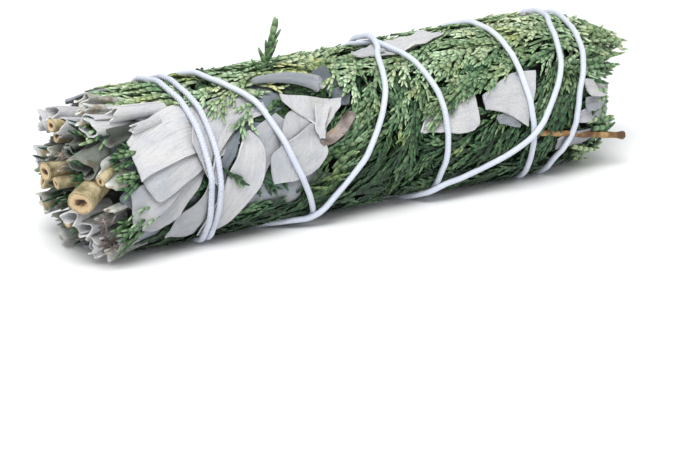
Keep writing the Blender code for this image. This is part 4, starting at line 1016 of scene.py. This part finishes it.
class Groove:
    """How far everything is drawn in under the string, on the cover's grid."""

    INNER_RADIUS = 8.5
    REACH = 4.4
    # The string's underside as a share of its radius, how far beside it that height holds, and the slope
    # past that
    UNDERSIDE = 0.85
    HALF_WIDTH = 0.55
    SLOPE = 0.55

    def __init__(self, cover, lift, line):
        self.cover = cover
        self.lift = lift
        self.high = cover.smoothed(4)
        limit = np.full_like(self.high, 99.0)
        cells = int(self.REACH / cover.STEP)
        for i in range(-cells, cells + 1):
            for j in range(-cells, cells + 1):
                away = math.hypot(i, j) * cover.STEP
                if away > self.REACH:
                    continue
                rise = self.SLOPE * max(0.0, away - self.HALF_WIDTH) - STRING_RADIUS * self.UNDERSIDE
                column, row = cover.cell(line[:, 0] + i * cover.STEP, line[:, 1] + j * cover.STEP)
                np.minimum.at(limit, (column, row), line[:, 2] + rise)
        self.drop = blurred(np.maximum(0.0, self.high - limit), 3)

    def drawn_in(self, points):
        """Flat points after the string is pulled tight."""
        along, wrapped, radius = points.T
        column = np.clip((along + Cover.HALF_LENGTH) / Cover.STEP, 0, self.cover.columns - 1.001)
        row = (wrapped / GIRTH * Cover.ROWS) % Cover.ROWS
        i, j = column.astype(int), row.astype(int)
        a, b = column - i, row - j
        i2, j2 = i + 1, (j + 1) % Cover.ROWS

        def between(field):
            return ((field[i, j % Cover.ROWS] * (1 - b) + field[i, j2] * b) * (1 - a)
                    + (field[i2, j % Cover.ROWS] * (1 - b) + field[i2, j2] * b) * a)

        high, drop = between(self.high), between(self.drop)
        raised = np.clip((radius - self.INNER_RADIUS) / RISING_DEPTH, 0.0, 1.0)
        radius = radius + between(self.lift) * raised
        share = np.clip((radius - self.INNER_RADIUS) / (high - self.INNER_RADIUS), 0.0, 1.1)
        return np.column_stack((along, wrapped, radius - drop * share))


def ply_profile():
    """The string's cross-section: three plies side by side, as a closed curve."""
    profile = bpy.data.curves.new("ply_profile", "CURVE")
    profile.dimensions = "2D"
    ring = profile.splines.new("POLY")
    ring.points.add(STRING_SIDES - 1)
    for k, slot in enumerate(ring.points):
        turn = math.tau * k / STRING_SIDES
        radius = STRING_RADIUS * (0.95 + 0.055 * math.cos(3 * turn)) * MM
        slot.co = (radius * math.cos(turn), radius * math.sin(turn), 0, 1)
    ring.use_cyclic_u = True
    guide = bpy.data.objects.new("ply_profile", profile)
    bpy.context.scene.collection.objects.link(guide)
    return guide


def twisted_string(name, points, guide):
    """A twisted cord along world points: a curve that carries the plies, turned as it goes."""
    points = np.array(points)
    points[:, 2] = np.maximum(points[:, 2], STRING_RADIUS * MM)
    curve = bpy.data.curves.new(name, "CURVE")
    curve.dimensions = "3D"
    curve.twist_mode = "MINIMUM"
    spline = curve.splines.new("POLY")
    spline.points.add(len(points) - 1)
    gone = 0.0
    for k, (slot, point) in enumerate(zip(spline.points, points)):
        if k:
            gone += float(np.linalg.norm(points[k] - points[k - 1])) / MM
        slot.co = (*point, 1.0)
        slot.tilt = math.tau * gone / STRING_PITCH
    curve.bevel_mode = "OBJECT"
    curve.bevel_object = guide
    curve.use_fill_caps = True
    cord = bpy.data.objects.new(name, curve)
    bpy.context.scene.collection.objects.link(cord)
    select_only(cord)
    bpy.ops.object.convert(target="MESH")
    return bpy.context.object


def knot_points(place, out, along):
    """World points of a small overhand knot round a place: three crossings, a little flattened."""
    across = out.cross(along).normalized()
    points = []
    for k in range(KNOT_STEPS + 1):
        turn = math.tau * k / KNOT_STEPS
        x = KNOT_SIZE * (math.sin(turn) + 2 * math.sin(2 * turn)) * MM
        y = KNOT_SIZE * (math.cos(turn) - 2 * math.cos(2 * turn)) * MM
        z = (0.75 - 0.48 * math.sin(3 * turn)) * MM
        points.append(np.array(place + along * x + across * y + out * z))
    return points


def cotton_string(cover, line):
    """The whole string: its turns, its knot and its two tails, joined."""
    guide = ply_profile()
    parts = [twisted_string("string_turns", rolled(line), guide)]
    ends = rolled(line[:1])[0]
    out = Vector((0, ends[1], ends[2] - AXIS_HEIGHT * MM)).normalized()
    parts.append(twisted_string("string_knot", knot_points(Vector(ends), out, Vector((1, 0, 0))), guide))
    field = cover.smoothed(5)
    for tail in STRING_TAILS:
        flat = curve_through(unrolled(tail), 16)
        radii = field[cover.cell(flat[:, 0], flat[:, 1])] + STRING_RADIUS * 0.8
        radii[0] = line[0, 2] + 0.4
        radii = np.maximum(radii, np.linspace(radii[0], radii[0] - 2.0, len(radii)))
        parts.append(twisted_string("string_tail", rolled(np.column_stack((flat, radii))), guide))
    made = joined("cotton_string", parts)
    bpy.data.objects.remove(guide)
    bpy.ops.object.shade_smooth_by_angle(angle=SHOOT_SMOOTH_ANGLE)
    return made


def stem(name, face, inside, radius, draw, knots=()):
    """A woody stem: a cylinder with its cut face inset into a rim, a ring and a pith, a little crooked.

    Its knots are how far from the cut face each is and how many times thicker the stem is there."""
    bpy.ops.object.select_all(action="DESELECT")
    face, inside = over_floor(face, inside)
    length = (inside - face).length
    bpy.ops.mesh.primitive_cylinder_add(
        vertices=STEM_SIDES, radius=radius, depth=length, location=(0, 0, length / 2))
    rod = bpy.context.object
    rod.name = name
    rod.data.name = name
    bpy.ops.object.transform_apply(location=True, rotation=False, scale=False)
    bpy.ops.object.mode_set(mode="EDIT")
    bpy.ops.mesh.select_all(action="DESELECT")
    bpy.ops.object.mode_set(mode="OBJECT")
    for polygon in rod.data.polygons:
        polygon.select = polygon.normal.z < -0.9
    bpy.ops.object.mode_set(mode="EDIT")
    for inwards, depth in STEM_INSETS:
        bpy.ops.mesh.inset(thickness=radius * inwards, depth=-radius * depth)
    bpy.ops.object.mode_set(mode="OBJECT")
    cut_across(rod.data, [length * (k / STEM_CUTS) ** 1.3 for k in range(1, STEM_CUTS)], (0, 0, 1))
    points = coordinates(rod.data)
    away = np.hypot(points[:, 0], points[:, 1])
    ring = np.where(points[:, 2] < radius * 0.3, np.clip(away / radius, 0, 1), 1.0)
    ring = np.where((points[:, 2] < 0.02) | (away < radius * 0.93), ring, BARK_MARK)
    turn = np.arctan2(points[:, 1], points[:, 0])
    phase = draw.uniform(0, math.tau)
    swell = 1 + 0.05 * np.sin(2 * turn + phase) + 0.035 * np.sin(5 * turn + 2 * phase + points[:, 2] * 0.4)
    for place, thicker in knots:
        swell = swell * (1 + (thicker - 1) * np.exp(-((points[:, 2] - place) / KNOT_LENGTH) ** 2))
    points[:, :2] *= swell[:, None]
    points[:, 2] += 0.22 * radius * np.sin(turn + phase) * (points[:, 2] < 0.5)
    way = (inside - face).to_track_quat("Z", "Y").to_matrix()
    set_down(rod, points @ np.array(way).T + np.array(face))
    set_attribute(rod.data, "ring", ring)
    select_only(rod)
    bpy.ops.object.shade_smooth_by_angle(angle=STEM_SMOOTH_ANGLE)
    return rod


def ends_frame(mouth, inside):
    """The mouth and length of a leaf end, with the directions inwards, sideways and up, in millimetres."""
    mouth, inside = over_floor(mouth, inside)
    way = (inside - mouth).normalized()
    side = way.cross(Vector((0, 0, 1))).normalized()
    return np.array(mouth), (inside - mouth).length, np.array(way), np.array(side), np.array(side.cross(way))


def end_grid(name, rows, columns):
    """A new grid for a leaf end, with how far along it and across it each point is, from 0 to 1."""
    bpy.ops.object.select_all(action="DESELECT")
    bpy.ops.mesh.primitive_grid_add(x_subdivisions=rows, y_subdivisions=columns, size=2)
    leaf = bpy.context.object
    leaf.name = name
    flat = coordinates(leaf.data)
    return leaf, (flat[:, 0] + 1) / 2, (flat[:, 1] + 1) / 2


def finished_end(leaf, points, light, mouth, way, length):
    """A leaf end with its thickness and its pale torn rim, in metres."""
    set_coordinates(leaf.data, points)
    apply_modifier(leaf, "SOLIDIFY", thickness=END_THICKNESS, offset=0.0)
    points = coordinates(leaf.data)
    inwards = (points - mouth) @ way / length
    rim = np.exp(-np.maximum(inwards + 0.04, 0) * END_RIM_FADE)
    set_attribute(leaf.data, "light", np.clip(light + END_RIM_LIGHT * rim, 0, 1))
    set_down(leaf, points)
    bpy.ops.object.shade_smooth_by_angle(angle=BLADE_SMOOTH_ANGLE)
    return leaf


def crumpled_leaf(name, mouth, inside, width, fold, light, draw):
    """A crumpled leaf end: a strip along the rim whose cross-section winds to and fro, torn at its mouth."""
    leaf, along, across = end_grid(name, 7, 15)
    turn = math.atan2(mouth[2], -mouth[1]) + math.pi / 2 + draw.uniform(-0.35, 0.35)
    mouth, length, way, side, up = ends_frame(mouth, inside)
    phase = draw.uniform(0, math.tau)
    share = np.linspace(0, 1, 61)
    heading = turn + fold * np.sin(math.tau * 1.15 * share + phase)
    path = np.column_stack((np.cumsum(np.cos(heading)), np.cumsum(np.sin(heading)))) * width / len(share)
    path -= path.mean(axis=0)
    narrowing = (1 - 0.3 * along) * (1 + 0.12 * np.sin(7 * along + phase))
    sideways, upward = (np.interp(across, share, path[:, k]) * narrowing for k in (0, 1))
    torn = np.exp(-along * 4) * (0.7 * np.sin(5 * across + phase) + 0.4 * np.sin(17 * across + 2 * phase))
    points = (mouth + np.outer(along * length - torn, way) + np.outer(sideways, side) + np.outer(upward, up))
    return finished_end(leaf, points, light, mouth, way, length)


def clear_of_stems(across, height):
    """Whether a place on the cut end is beside every stem there."""
    for face, _, radius in (*STEMS.values(), *SMALL_STEMS):
        if math.hypot(across - face[1], height - face[2]) < radius + STEM_CLEARANCE:
            return False
    return True


def spread_places(count, radius, turned_by=0.0):
    """Places evenly spread over a round face: number, share of the way out, across and up for each."""
    for k in range(count):
        share = (k + 0.5) / count
        turn, reach = math.radians(GOLDEN_ANGLE * k + turned_by), radius * math.sqrt(share)
        yield k, share, -reach * math.cos(turn), reach * math.sin(turn)


def leaf_ends(draw):
    """The crumpled leaf ends that the photograph shows, and the rest of the cut end filled by rule."""
    parts = [crumpled_leaf(f"crumple_{k}", *values, draw) for k, values in enumerate(CRUMPLES)]
    for k, share, across, height in spread_places(END_LEAVES, END_LEAF_RADIUS):
        if not clear_of_stems(across, height):
            continue
        mouth = (END_LEAF_REACH + END_LEAF_DOME * share**2 + draw.uniform(-1.0, 2.0), across, height)
        inside = (END_LEAF_INSIDE, across * 0.8, height * 0.8)
        parts.append(crumpled_leaf(f"end_{k}", mouth, inside, draw.uniform(3.5, 6.0), draw.uniform(1.2, 2.5),
                                   draw.uniform(0.0, 0.35) + 0.35 * share, draw))
    return joined("leaf_ends", parts)


def cut_end_cedar(shoots, draw):
    """Tufts of cedar shoots that point out of the cut end."""
    spray = Spray(shoots)
    for angle, reach, tip, count, tone in CUT_END_TUFTS:
        for _ in range(count):
            turn = angle * PER_DEGREE + draw.uniform(-1.7, 1.7)
            out = reach + draw.uniform(-1.4, 1.0)
            length = draw.uniform(2.4, 5.5)
            end = tip + draw.uniform(-0.6, 2.6)
            heading = turned((-1.0, 0.0), draw.uniform(-0.5, 0.5))
            line = shoot_line(np.array((end + length, turn)), heading, length, draw.uniform(-0.5, 0.5), 5)
            spray.add(line, np.linspace(out - 1.0, out + draw.uniform(-0.6, 0.9), 5), SHOOT_WIDTH * 0.85,
                      tone + draw.uniform(-TONE_SPREAD, TONE_SPREAD))
    return spray.made("cut_end_cedar")


def seedy_bits(shoots, draw):
    """Dry brown flakes caught between the leaves of the cut end."""
    spray = Spray(shoots)
    for angle, reach, along, spread, count in SEEDY_BITS:
        for _ in range(count):
            place = np.array((along + draw.uniform(-0.8, 0.8) * spread,
                              angle * PER_DEGREE + draw.uniform(-1, 1) * spread))
            heading = turned((-1.0, 0.0), draw.uniform(-2, 2))
            line = shoot_line(place, heading, draw.uniform(1.0, 2.2), draw.uniform(-1, 1), 3)
            out = reach + draw.uniform(-0.9, 0.9)
            spray.add(line, np.linspace(out, out + draw.uniform(-0.7, 0.9), 3), draw.uniform(0.3, 0.55), 0.5)
    return spray.made("seedy_bits")


def tip_filling(shoots, draw):
    """Cedar shoots that close the leafy end, shorter towards its rim."""
    spray = Spray(shoots)
    for k in range(TIP_SHOOTS):
        share = (k + 0.5) / TIP_SHOOTS
        turn, out = GOLDEN_ANGLE * k * PER_DEGREE, TIP_RADIUS * math.sqrt(share)
        length = draw.uniform(4, 7.5)
        end = TIP_REACH - TIP_DOME * share + draw.uniform(-2.5, 1.0)
        heading = turned((1.0, 0.0), draw.uniform(-0.9, 0.9))
        line = shoot_line(np.array((end - length, turn)), heading, length, draw.uniform(-0.6, 0.6), 5)
        heights = np.linspace(out, out + draw.uniform(-2.6, 1.0), 5)
        spray.add(line, heights, SHOOT_WIDTH * 1.35, draw.uniform(0.2, 0.8))
    return spray.made("tip_filling")


def leaf_tips(draw):
    """Leaf ends that stand between the shoots of the leafy end."""
    parts = []
    for k, share, across, height in spread_places(TIP_LEAVES, TIP_LEAF_RADIUS, TIP_LEAF_TURN):
        mouth = (TIP_LEAF_REACH - TIP_LEAF_DOME * share + draw.uniform(-1.0, 0.8), across, height)
        inside = (TIP_LEAF_INSIDE, across * 0.8 + draw.uniform(-4, 4), height * 0.8 + draw.uniform(-4, 4))
        parts.append(crumpled_leaf(f"tip_{k}", mouth, inside, draw.uniform(4.5, 7.0), draw.uniform(0.4, 0.9),
                                   draw.uniform(0.45, 0.85), draw))
    return joined("leaf_tips", parts)


def rolled_leaf(name, mouth, inside, radius, turns, start, light, draw, taper=0.12, bend=0.0):
    """A leaf rolled up lengthwise and cut off: a grid wound into a scroll that flares at its ragged mouth."""
    roll, along, round_share = end_grid(name, 9, 22)
    mouth, length, way, side, up = ends_frame(mouth, inside)
    turn = math.radians(start) + math.tau * turns * round_share
    phase = draw.uniform(0, math.tau)
    flare = 1 + 0.16 * np.exp(-along * 9) * np.sin(turn * 2 + phase)
    wide = radius * (1 - ROLL_NARROWING * round_share) * flare * (1 + 0.10 * np.sin(2 * turn + phase))
    wide = wide * (1 - taper * along)
    ragged = np.exp(-along * 5) * (0.55 * np.sin(turn * 1.4 + phase) + 0.3 * np.sin(turn * 4.1 + 2 * phase))
    points = (mouth + np.outer(along * length - ragged, way)
              + np.outer(wide * np.cos(turn), side)
              + np.outer(wide * np.sin(turn) + bend * 4 * along * (1 - along), up))
    return finished_end(roll, points, light, mouth, way, length)


def add_node(tree, kind, inputs=None, **settings):
    """A node with its settings, and its inputs filled with values or linked to other nodes' outputs."""
    made = tree.nodes.new(kind)
    for key, value in settings.items():
        setattr(made, key, value)
    for key, value in (inputs or {}).items():
        if isinstance(value, bpy.types.NodeSocket):
            tree.links.new(value, made.inputs[key])
        else:
            made.inputs[key].default_value = value
    return made


def add_ramp(tree, factor, stops):
    ramp = add_node(tree, "ShaderNodeValToRGB", {"Fac": factor})
    elements = ramp.color_ramp.elements
    while len(elements) < len(stops):
        elements.new(0.5)
    for element, (position, colour) in zip(elements, stops):
        element.position = position
        element.color = (*colour, 1.0)
    return ramp.outputs["Color"]


def mixed(tree, mode, factor, first, second):
    mix = add_node(tree, "ShaderNodeMix", {"Factor": factor}, data_type="RGBA", blend_type=mode)
    for socket, value in zip((s for s in mix.inputs if s.type == "RGBA"), (first, second)):
        if isinstance(value, bpy.types.NodeSocket):
            tree.links.new(value, socket)
        else:
            socket.default_value = (*value, 1.0)
    return next(s for s in mix.outputs if s.type == "RGBA")


def maths(tree, operation, first, second=0.0):
    made = add_node(tree, "ShaderNodeMath", {0: first, 1: second}, operation=operation)
    return made.outputs[0]


def mottle_group():
    """Soft patches and a fine grain that vary over a surface, as two values from 0 to 1."""
    tree = bpy.data.node_groups.new("mottle", "ShaderNodeTree")
    for name, value in (("Patch Scale", 220.0), ("Grain Scale", 1800.0)):
        socket = tree.interface.new_socket(name, in_out="INPUT", socket_type="NodeSocketFloat")
        socket.default_value = value
    tree.interface.new_socket("Patches", in_out="OUTPUT", socket_type="NodeSocketFloat")
    tree.interface.new_socket("Grain", in_out="OUTPUT", socket_type="NodeSocketFloat")
    inputs = tree.nodes.new("NodeGroupInput")
    outputs = tree.nodes.new("NodeGroupOutput")
    place = add_node(tree, "ShaderNodeTexCoord").outputs["Object"]
    patches = add_node(tree, "ShaderNodeTexNoise", {
        "Vector": place, "Scale": inputs.outputs["Patch Scale"], "Detail": 3.0, "Roughness": 0.6})
    grain = add_node(tree, "ShaderNodeTexNoise", {
        "Vector": place, "Scale": inputs.outputs["Grain Scale"], "Detail": 4.0, "Roughness": 0.7})
    tree.links.new(patches.outputs["Fac"], outputs.inputs["Patches"])
    tree.links.new(grain.outputs["Fac"], outputs.inputs["Grain"])
    return tree


def new_material(name, roughness):
    material = bpy.data.materials.new(name)
    material.use_nodes = True
    tree = material.node_tree
    shader = tree.nodes["Principled BSDF"]
    shader.inputs["Roughness"].default_value = roughness
    return material, tree, shader


def add_mottle(tree, group, patch_scale, grain_scale):
    made = add_node(tree, "ShaderNodeGroup")
    made.node_tree = group
    made.inputs["Patch Scale"].default_value = patch_scale
    made.inputs["Grain Scale"].default_value = grain_scale
    return made.outputs["Patches"], made.outputs["Grain"]


def attribute(tree, name):
    return add_node(tree, "ShaderNodeAttribute", attribute_name=name).outputs["Fac"]


def tinted(tree, amount, colour, value, stops):
    """A colour multiplied by a ramp over a value."""
    return mixed(tree, "MULTIPLY", amount, colour, add_ramp(tree, value, stops))


def surface(tree, shader, colour, height, strength, depth):
    """Gives a material its colour and its small relief."""
    tree.links.new(colour, shader.inputs["Base Color"])
    bump = add_node(tree, "ShaderNodeBump", {"Height": height, "Strength": strength, "Distance": depth})
    tree.links.new(bump.outputs["Normal"], shader.inputs["Normal"])
    return bump


def sage_material(name, group, shades, spots, patch_scale):
    """Felted pale grey leaf in painted light and shade: a faint net of veins, a midrib line, fine creases
    with painted shade in their hollows, and soft patches.
    """
    material, tree, shader = new_material(name, 0.9)
    patches, grain = add_mottle(tree, group, patch_scale, 2600.0)
    place = add_node(tree, "ShaderNodeTexCoord")
    net = add_node(tree, "ShaderNodeTexVoronoi", {"Vector": place.outputs["Object"], "Scale": 850.0},
                   feature="DISTANCE_TO_EDGE")
    lengthwise = add_node(tree, "ShaderNodeMapping", {
        "Vector": place.outputs["UV"], "Scale": (2.5, 16.0, 1.0)})
    creases = add_node(tree, "ShaderNodeTexNoise", {
        "Vector": lengthwise.outputs["Vector"], "Scale": 2.0, "Detail": 5.0, "Roughness": 0.65,
        "Distortion": 0.6}).outputs["Fac"]
    across = add_node(tree, "ShaderNodeSeparateXYZ", {0: place.outputs["UV"]}).outputs["Y"]
    from_rib = maths(tree, "ABSOLUTE", maths(tree, "SUBTRACT", across, 0.5))
    colour = add_ramp(tree, attribute(tree, "light"), shades)
    # The creases' tint follows their relief: painted shade in the hollows, painted light on the ridges
    for amount, value, stops in (
        (1.0, patches, spots), (0.4, net.outputs["Distance"], VEINS), (0.85, creases, CREASE_SHADE_AND_LIGHT),
        (0.8, from_rib, RIB), (0.8, grain, SPECKS),
    ):
        colour = tinted(tree, amount, colour, value, stops)
    shader.inputs["Sheen Weight"].default_value = 0.25
    shader.inputs["Sheen Roughness"].default_value = 0.6
    fine = add_node(tree, "ShaderNodeBump", {"Height": grain, "Strength": 0.25, "Distance": 0.00012})
    folds = surface(tree, shader, colour, creases, 0.6, 0.0005)
    tree.links.new(fine.outputs["Normal"], folds.inputs["Normal"])
    return material


def plain_material(group, name, roughness, patch_scale, grain_scale, strength, depth, shades):
    """A dry surface in patches of a few colours."""
    material, tree, shader = new_material(name, roughness)
    patches, grain = add_mottle(tree, group, patch_scale, grain_scale)
    surface(tree, shader, add_ramp(tree, patches, shades), grain, strength, depth)
    return material


def cedar_material(group):
    """Scaly green, from deep green in painted shade to yellow-green in painted light by shoot, with painted
    shade under each scale and a painted highlight at its tip, and dry brown in places.
    """
    material, tree, shader = new_material("cedar_scales", 0.55)
    patches, grain = add_mottle(tree, group, 420.0, 2200.0)
    place = add_node(tree, "ShaderNodeTexCoord").outputs["Object"]
    broad = add_node(tree, "ShaderNodeTexNoise", {
        "Vector": place, "Scale": 110.0, "Detail": 3.0, "Roughness": 0.7})
    change = maths(tree, "MULTIPLY", maths(tree, "SUBTRACT", patches, 0.5), 0.7)
    colour = add_ramp(tree, maths(tree, "ADD", attribute(tree, "tone"), change), GREENS)
    colour = tinted(tree, 1.0, colour, attribute(tree, "light"), SCALE_SHADE_AND_HIGHLIGHT)
    colour = tinted(tree, 1.0, colour, broad.outputs["Fac"], HUES)
    colour = mixed(tree, "MIX", add_ramp(tree, grain, DRY_FLECKS), colour, DRY_BROWN)
    surface(tree, shader, colour, grain, 0.3, 0.0001)
    return material


def string_material(group):
    """White cotton with painted bluish shade in its hollows, and fine fibres."""
    material, tree, shader = new_material("string_cotton", 0.85)
    patches, grain = add_mottle(tree, group, 300.0, 5200.0)
    colour = tinted(tree, 0.5, add_ramp(tree, grain, COTTON_AND_HOLLOW_SHADE), patches, COTTON_PATCHES)
    surface(tree, shader, colour, grain, 0.3, 0.0001)
    shader.inputs["Sheen Weight"].default_value = 0.3
    return material


def stem_material(group):
    """Olive-tan bark, and on the cut face a brown rim, a pale ring and a dark pith."""
    material, tree, shader = new_material("stem_wood", 0.75)
    patches, grain = add_mottle(tree, group, 420.0, 2000.0)
    ring = attribute(tree, "ring")
    change = maths(tree, "MULTIPLY", maths(tree, "SUBTRACT", grain, 0.5), 0.7)
    cut = add_ramp(tree, maths(tree, "ADD", ring, change), CUT_FACE)
    bark = tinted(tree, 0.8, add_ramp(tree, patches, BARK), grain, BARK_STREAKS)
    on_bark = maths(tree, "GREATER_THAN", ring, 1.2)
    surface(tree, shader, mixed(tree, "MIX", on_bark, cut, bark), grain, 0.5, 0.0002)
    return material


def floor_material():
    material, tree, shader = new_material("pale_floor", 0.9)
    place = add_node(tree, "ShaderNodeTexCoord").outputs["Object"]
    noise = add_node(tree, "ShaderNodeTexNoise", {"Vector": place, "Scale": 8.0, "Detail": 2.0})
    tree.links.new(add_ramp(tree, noise.outputs["Fac"], FLOOR), shader.inputs["Base Color"])
    return material


def finish_piece(obj, material, slot, *nodes):
    """Gives a piece its material and says what it rides on and which solids it stands for; its slot is not
    used.
    """
    obj.data.materials.clear()
    obj.data.materials.append(material)
    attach(obj, "root")
    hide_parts(*nodes)


def wrap(obj, groove):
    set_coordinates(obj.data, rolled(groove.drawn_in(coordinates(obj.data))))


def under_leaves(cover, draw):
    """Sage leaves all round, under the ones that are placed one by one."""
    parts = []
    for row, along in enumerate(UNDER_LEAF_ROWS):
        for k in range(UNDER_LEAVES_ROUND):
            angle = 360 / UNDER_LEAVES_ROUND * k + UNDER_ROW_TURN * row + draw.uniform(-8, 8)
            faces_camera = CAMERA_SIDE[0] < (angle + 180) % 360 - 180 < CAMERA_SIDE[1]
            if faces_camera and along > -20:
                continue
            start = (along + draw.uniform(-3, 3), angle)
            end = (start[0] + draw.uniform(22, 28), angle + draw.uniform(-22, 22))
            edges = leaf_edges(start, end, draw.uniform(10, 13), draw.uniform(-1, 1))
            # The leaves underneath get low lights: painted shade
            light = draw.uniform(0.25, 0.6)
            parts.append(blade(f"under_{row}_{k}", edges, draw.uniform(0.1, 0.4), light, cover, draw, 6))
    return joined("under_leaves", parts)


def under_cedar(name, places, cover, shoots, draw):
    """Cedar sprays all round, under the ones that are placed one by one."""
    spray = Spray(shoots)
    for k in places:
        along = UNDER_START + UNDER_LENGTH * (k + 0.5) / UNDER_SPRAYS
        angle = GOLDEN_ANGLE * k
        backwards = along > ALL_BACKWARDS_FROM or (
            along > SOME_BACKWARDS_FROM and draw.random() < BACKWARDS_SHARE)
        way = draw.uniform(-0.6, 0.6) + (math.pi if backwards else 0.0)
        reach = draw.uniform(14, 20)
        end = (along + reach * math.cos(way), angle + reach * math.sin(way) / PER_DEGREE)
        # Their low tones are painted shade under the sprays laid on top
        lay_spray(spray, cover, (along, angle), end, draw.uniform(8, 10), draw.uniform(-1, 1), draw,
                  draw.uniform(0.05, 0.3))
    return spray.made(name)


def painted_light_tone(root, tip):
    # Painted light on top of the bunch and painted shade below, by the angle of the spray's middle
    angles, tones = zip(*PAINTED_LIGHT_BY_ANGLE)
    return float(np.interp((root[1] + tip[1]) / 2, angles, tones))


def dress(materials):
    """Makes every piece of the bunch, from the inside out."""
    draw = random.Random(SEED)
    cover = Cover()
    shoots = {count: Shoot(count) for count in range(1, LONGEST_SHOOT + 1)}
    laid = []
    middle = packed_middle()
    finish_piece(middle, materials["middle"], "sage", "sage_leaves")
    laid.append((under_leaves(cover, draw), "sage", "sage", "sage_leaves"))
    half = UNDER_SPRAYS // 2
    for name, places in (("left", range(half)), ("right", range(half, UNDER_SPRAYS))):
        sprays = under_cedar(f"under_cedar_{name}", places, cover, shoots, draw)
        laid.append((sprays, "cedar", "cedar", "sage_leaves"))
    for name, (start, end, width, bow, light) in HIDDEN_LEAVES.items():
        leaf = blade(f"sage_{name}", leaf_edges(start, end, width, bow), 0.35, light, cover, draw)
        laid.append((leaf, "sage", "sage", LEAF_NODES.get(name, "sage_leaves")))
    for entry in LAYING_ORDER:
        kind, name = entry.split()
        if kind == "leaf":
            one, other, curl, light = LEAVES[name]
            leaf = blade(f"sage_{name}", (one, other), curl, light, cover, draw)
            finish = "brown" if name == "brown_piece" else "sage"
            laid.append((leaf, finish, "sage", LEAF_NODES.get(name, "sage_leaves")))
            continue
        spray = Spray(shoots)
        for root, tip, width, bow in SPRAYS[name]:
            lay_spray(spray, cover, root, tip, width, bow, draw, painted_light_tone(root, tip), OPENINGS.get(name, 1.0))
        if name == "top_middle":
            standing_shoot(spray, cover)
        laid.append((spray.made(f"cedar_{name}"), "cedar", "cedar", f"spray_{name}"))
    laid.append((cut_end_cedar(shoots, draw), "cedar", "cedar", "sage_leaves"))
    laid.append((tip_filling(shoots, draw), "cedar", "cedar", "sage_leaves"))
    laid.append((seedy_bits(shoots, draw), "brown", "dry_twig", "sage_leaves"))
    lifted, lift = lift_to_profile(cover)
    line = string_line(lifted)
    groove = Groove(lifted, lift, line)
    for obj, finish, slot, node in laid:
        wrap(obj, groove)
        finish_piece(obj, materials[finish], slot, node)
    string = cotton_string(lifted, line)
    finish_piece(string, materials["string"], "string", "string")
    for name, (face, inside, radius) in STEMS.items():
        finish_piece(stem(f"wood_{name}", face, inside, radius, draw), materials["stem"], "stem", name)
    for k, (face, inside, radius) in enumerate(SMALL_STEMS):
        small = stem(f"wood_small_{k}", face, inside, radius, draw)
        finish_piece(small, materials["stem"], "stem", "stem_left")
    twig = stem("wood_twig_at_tip", *TWIG_AT_TIP, draw, TWIG_KNOTS)
    finish_piece(twig, materials["twig"], "dry_twig", "twig_at_tip")
    rolls = [rolled_leaf(f"roll_{k}", *values, draw) for k, values in enumerate(ROLLS)]
    for name, finish, pale in (("rolled_leaves", "sage", True), ("rolled_leaves_inner", "cut_end", False)):
        chosen = [roll for roll, values in zip(rolls, ROLLS) if (values[-1] > PALE) == pale]
        finish_piece(joined(name, chosen), materials[finish], "sage", "sage_leaves")
    finish_piece(leaf_ends(draw), materials["cut_end"], "sage", "sage_leaves")
    finish_piece(leaf_tips(draw), materials["sage"], "sage", "sage_leaves")
    near_top = rolled_leaf(
        "sage_rolled_near_top", *ROLL_NEAR_TOP, draw, ROLL_NEAR_TOP_TAPER, ROLL_NEAR_TOP_BEND)
    near_top.data.name = "sage_rolled_near_top"
    finish_piece(near_top, materials["sage"], "sage", "leaf_rolled_near_top")


def studio():
    """A pale floor, and soft light from above and the left."""
    bpy.ops.object.select_all(action="DESELECT")
    bpy.ops.mesh.primitive_plane_add(size=8, location=(0, 0, 0))
    floor = bpy.context.object
    floor.name = "floor"
    floor.data.materials.append(floor_material())
    scene = bpy.context.scene
    world = bpy.data.worlds.new("studio")
    scene.world = world
    world.use_nodes = True
    background = world.node_tree.nodes["Background"]
    background.inputs["Color"].default_value = SKY_COLOUR
    background.inputs["Strength"].default_value = SKY_STRENGTH
    data = bpy.data.lights.new("key", "AREA")
    data.size = KEY_SIZE
    data.energy = KEY_POWER
    light = bpy.data.objects.new("key", data)
    light.location = KEY_PLACE
    light.rotation_euler = (Vector(KEY_AIM) - Vector(KEY_PLACE)).to_track_quat("-Z", "Y").to_euler()
    scene.collection.objects.link(light)
    scene.view_settings.view_transform = "Standard"
    scene.view_settings.look = "None"


def camera():
    azimuth, elevation = math.radians(CAMERA_AZIMUTH), math.radians(CAMERA_ELEVATION)
    back = Vector((math.sin(azimuth) * math.cos(elevation), -math.cos(azimuth) * math.cos(elevation),
                   math.sin(elevation)))
    centre = Vector((0, 0, AXIS_HEIGHT * MM))
    side = (-back).cross(Vector((0, 0, 1))).normalized()
    top = side.cross(-back)
    right = (CENTRE_PIXEL[0] - FRAME_SIZE[0] / 2) / CAMERA_FOCAL
    down = (CENTRE_PIXEL[1] - FRAME_SIZE[1] / 2) / CAMERA_FOCAL
    forward = (-back - side * right + top * down).normalized()
    data = bpy.data.cameras.new("camera")
    data.sensor_width = SENSOR
    data.lens = CAMERA_FOCAL * SENSOR / FRAME_SIZE[0]
    data.clip_start, data.clip_end = 0.01, 10.0
    made = bpy.data.objects.new("camera", data)
    made.location = centre + back * CAMERA_DISTANCE * MM
    made.rotation_euler = forward.to_track_quat("-Z", "Y").to_euler()
    bpy.context.scene.collection.objects.link(made)
    bpy.context.scene.camera = made


MOTTLE = mottle_group()
dress({
    "sage": sage_material("sage_felt", MOTTLE, FELT, FELT_PATCHES, 240.0),
    "cut_end": sage_material("sage_cut_end", MOTTLE, CUT_END, CUT_END_PATCHES, 420.0),
    "brown": plain_material(MOTTLE, *BROWNED),
    "cedar": cedar_material(MOTTLE),
    "string": string_material(MOTTLE),
    "stem": stem_material(MOTTLE),
    "twig": plain_material(MOTTLE, *TWIG_BARK),
    "middle": plain_material(MOTTLE, *PACKED_SHADE),
})
studio()
camera()
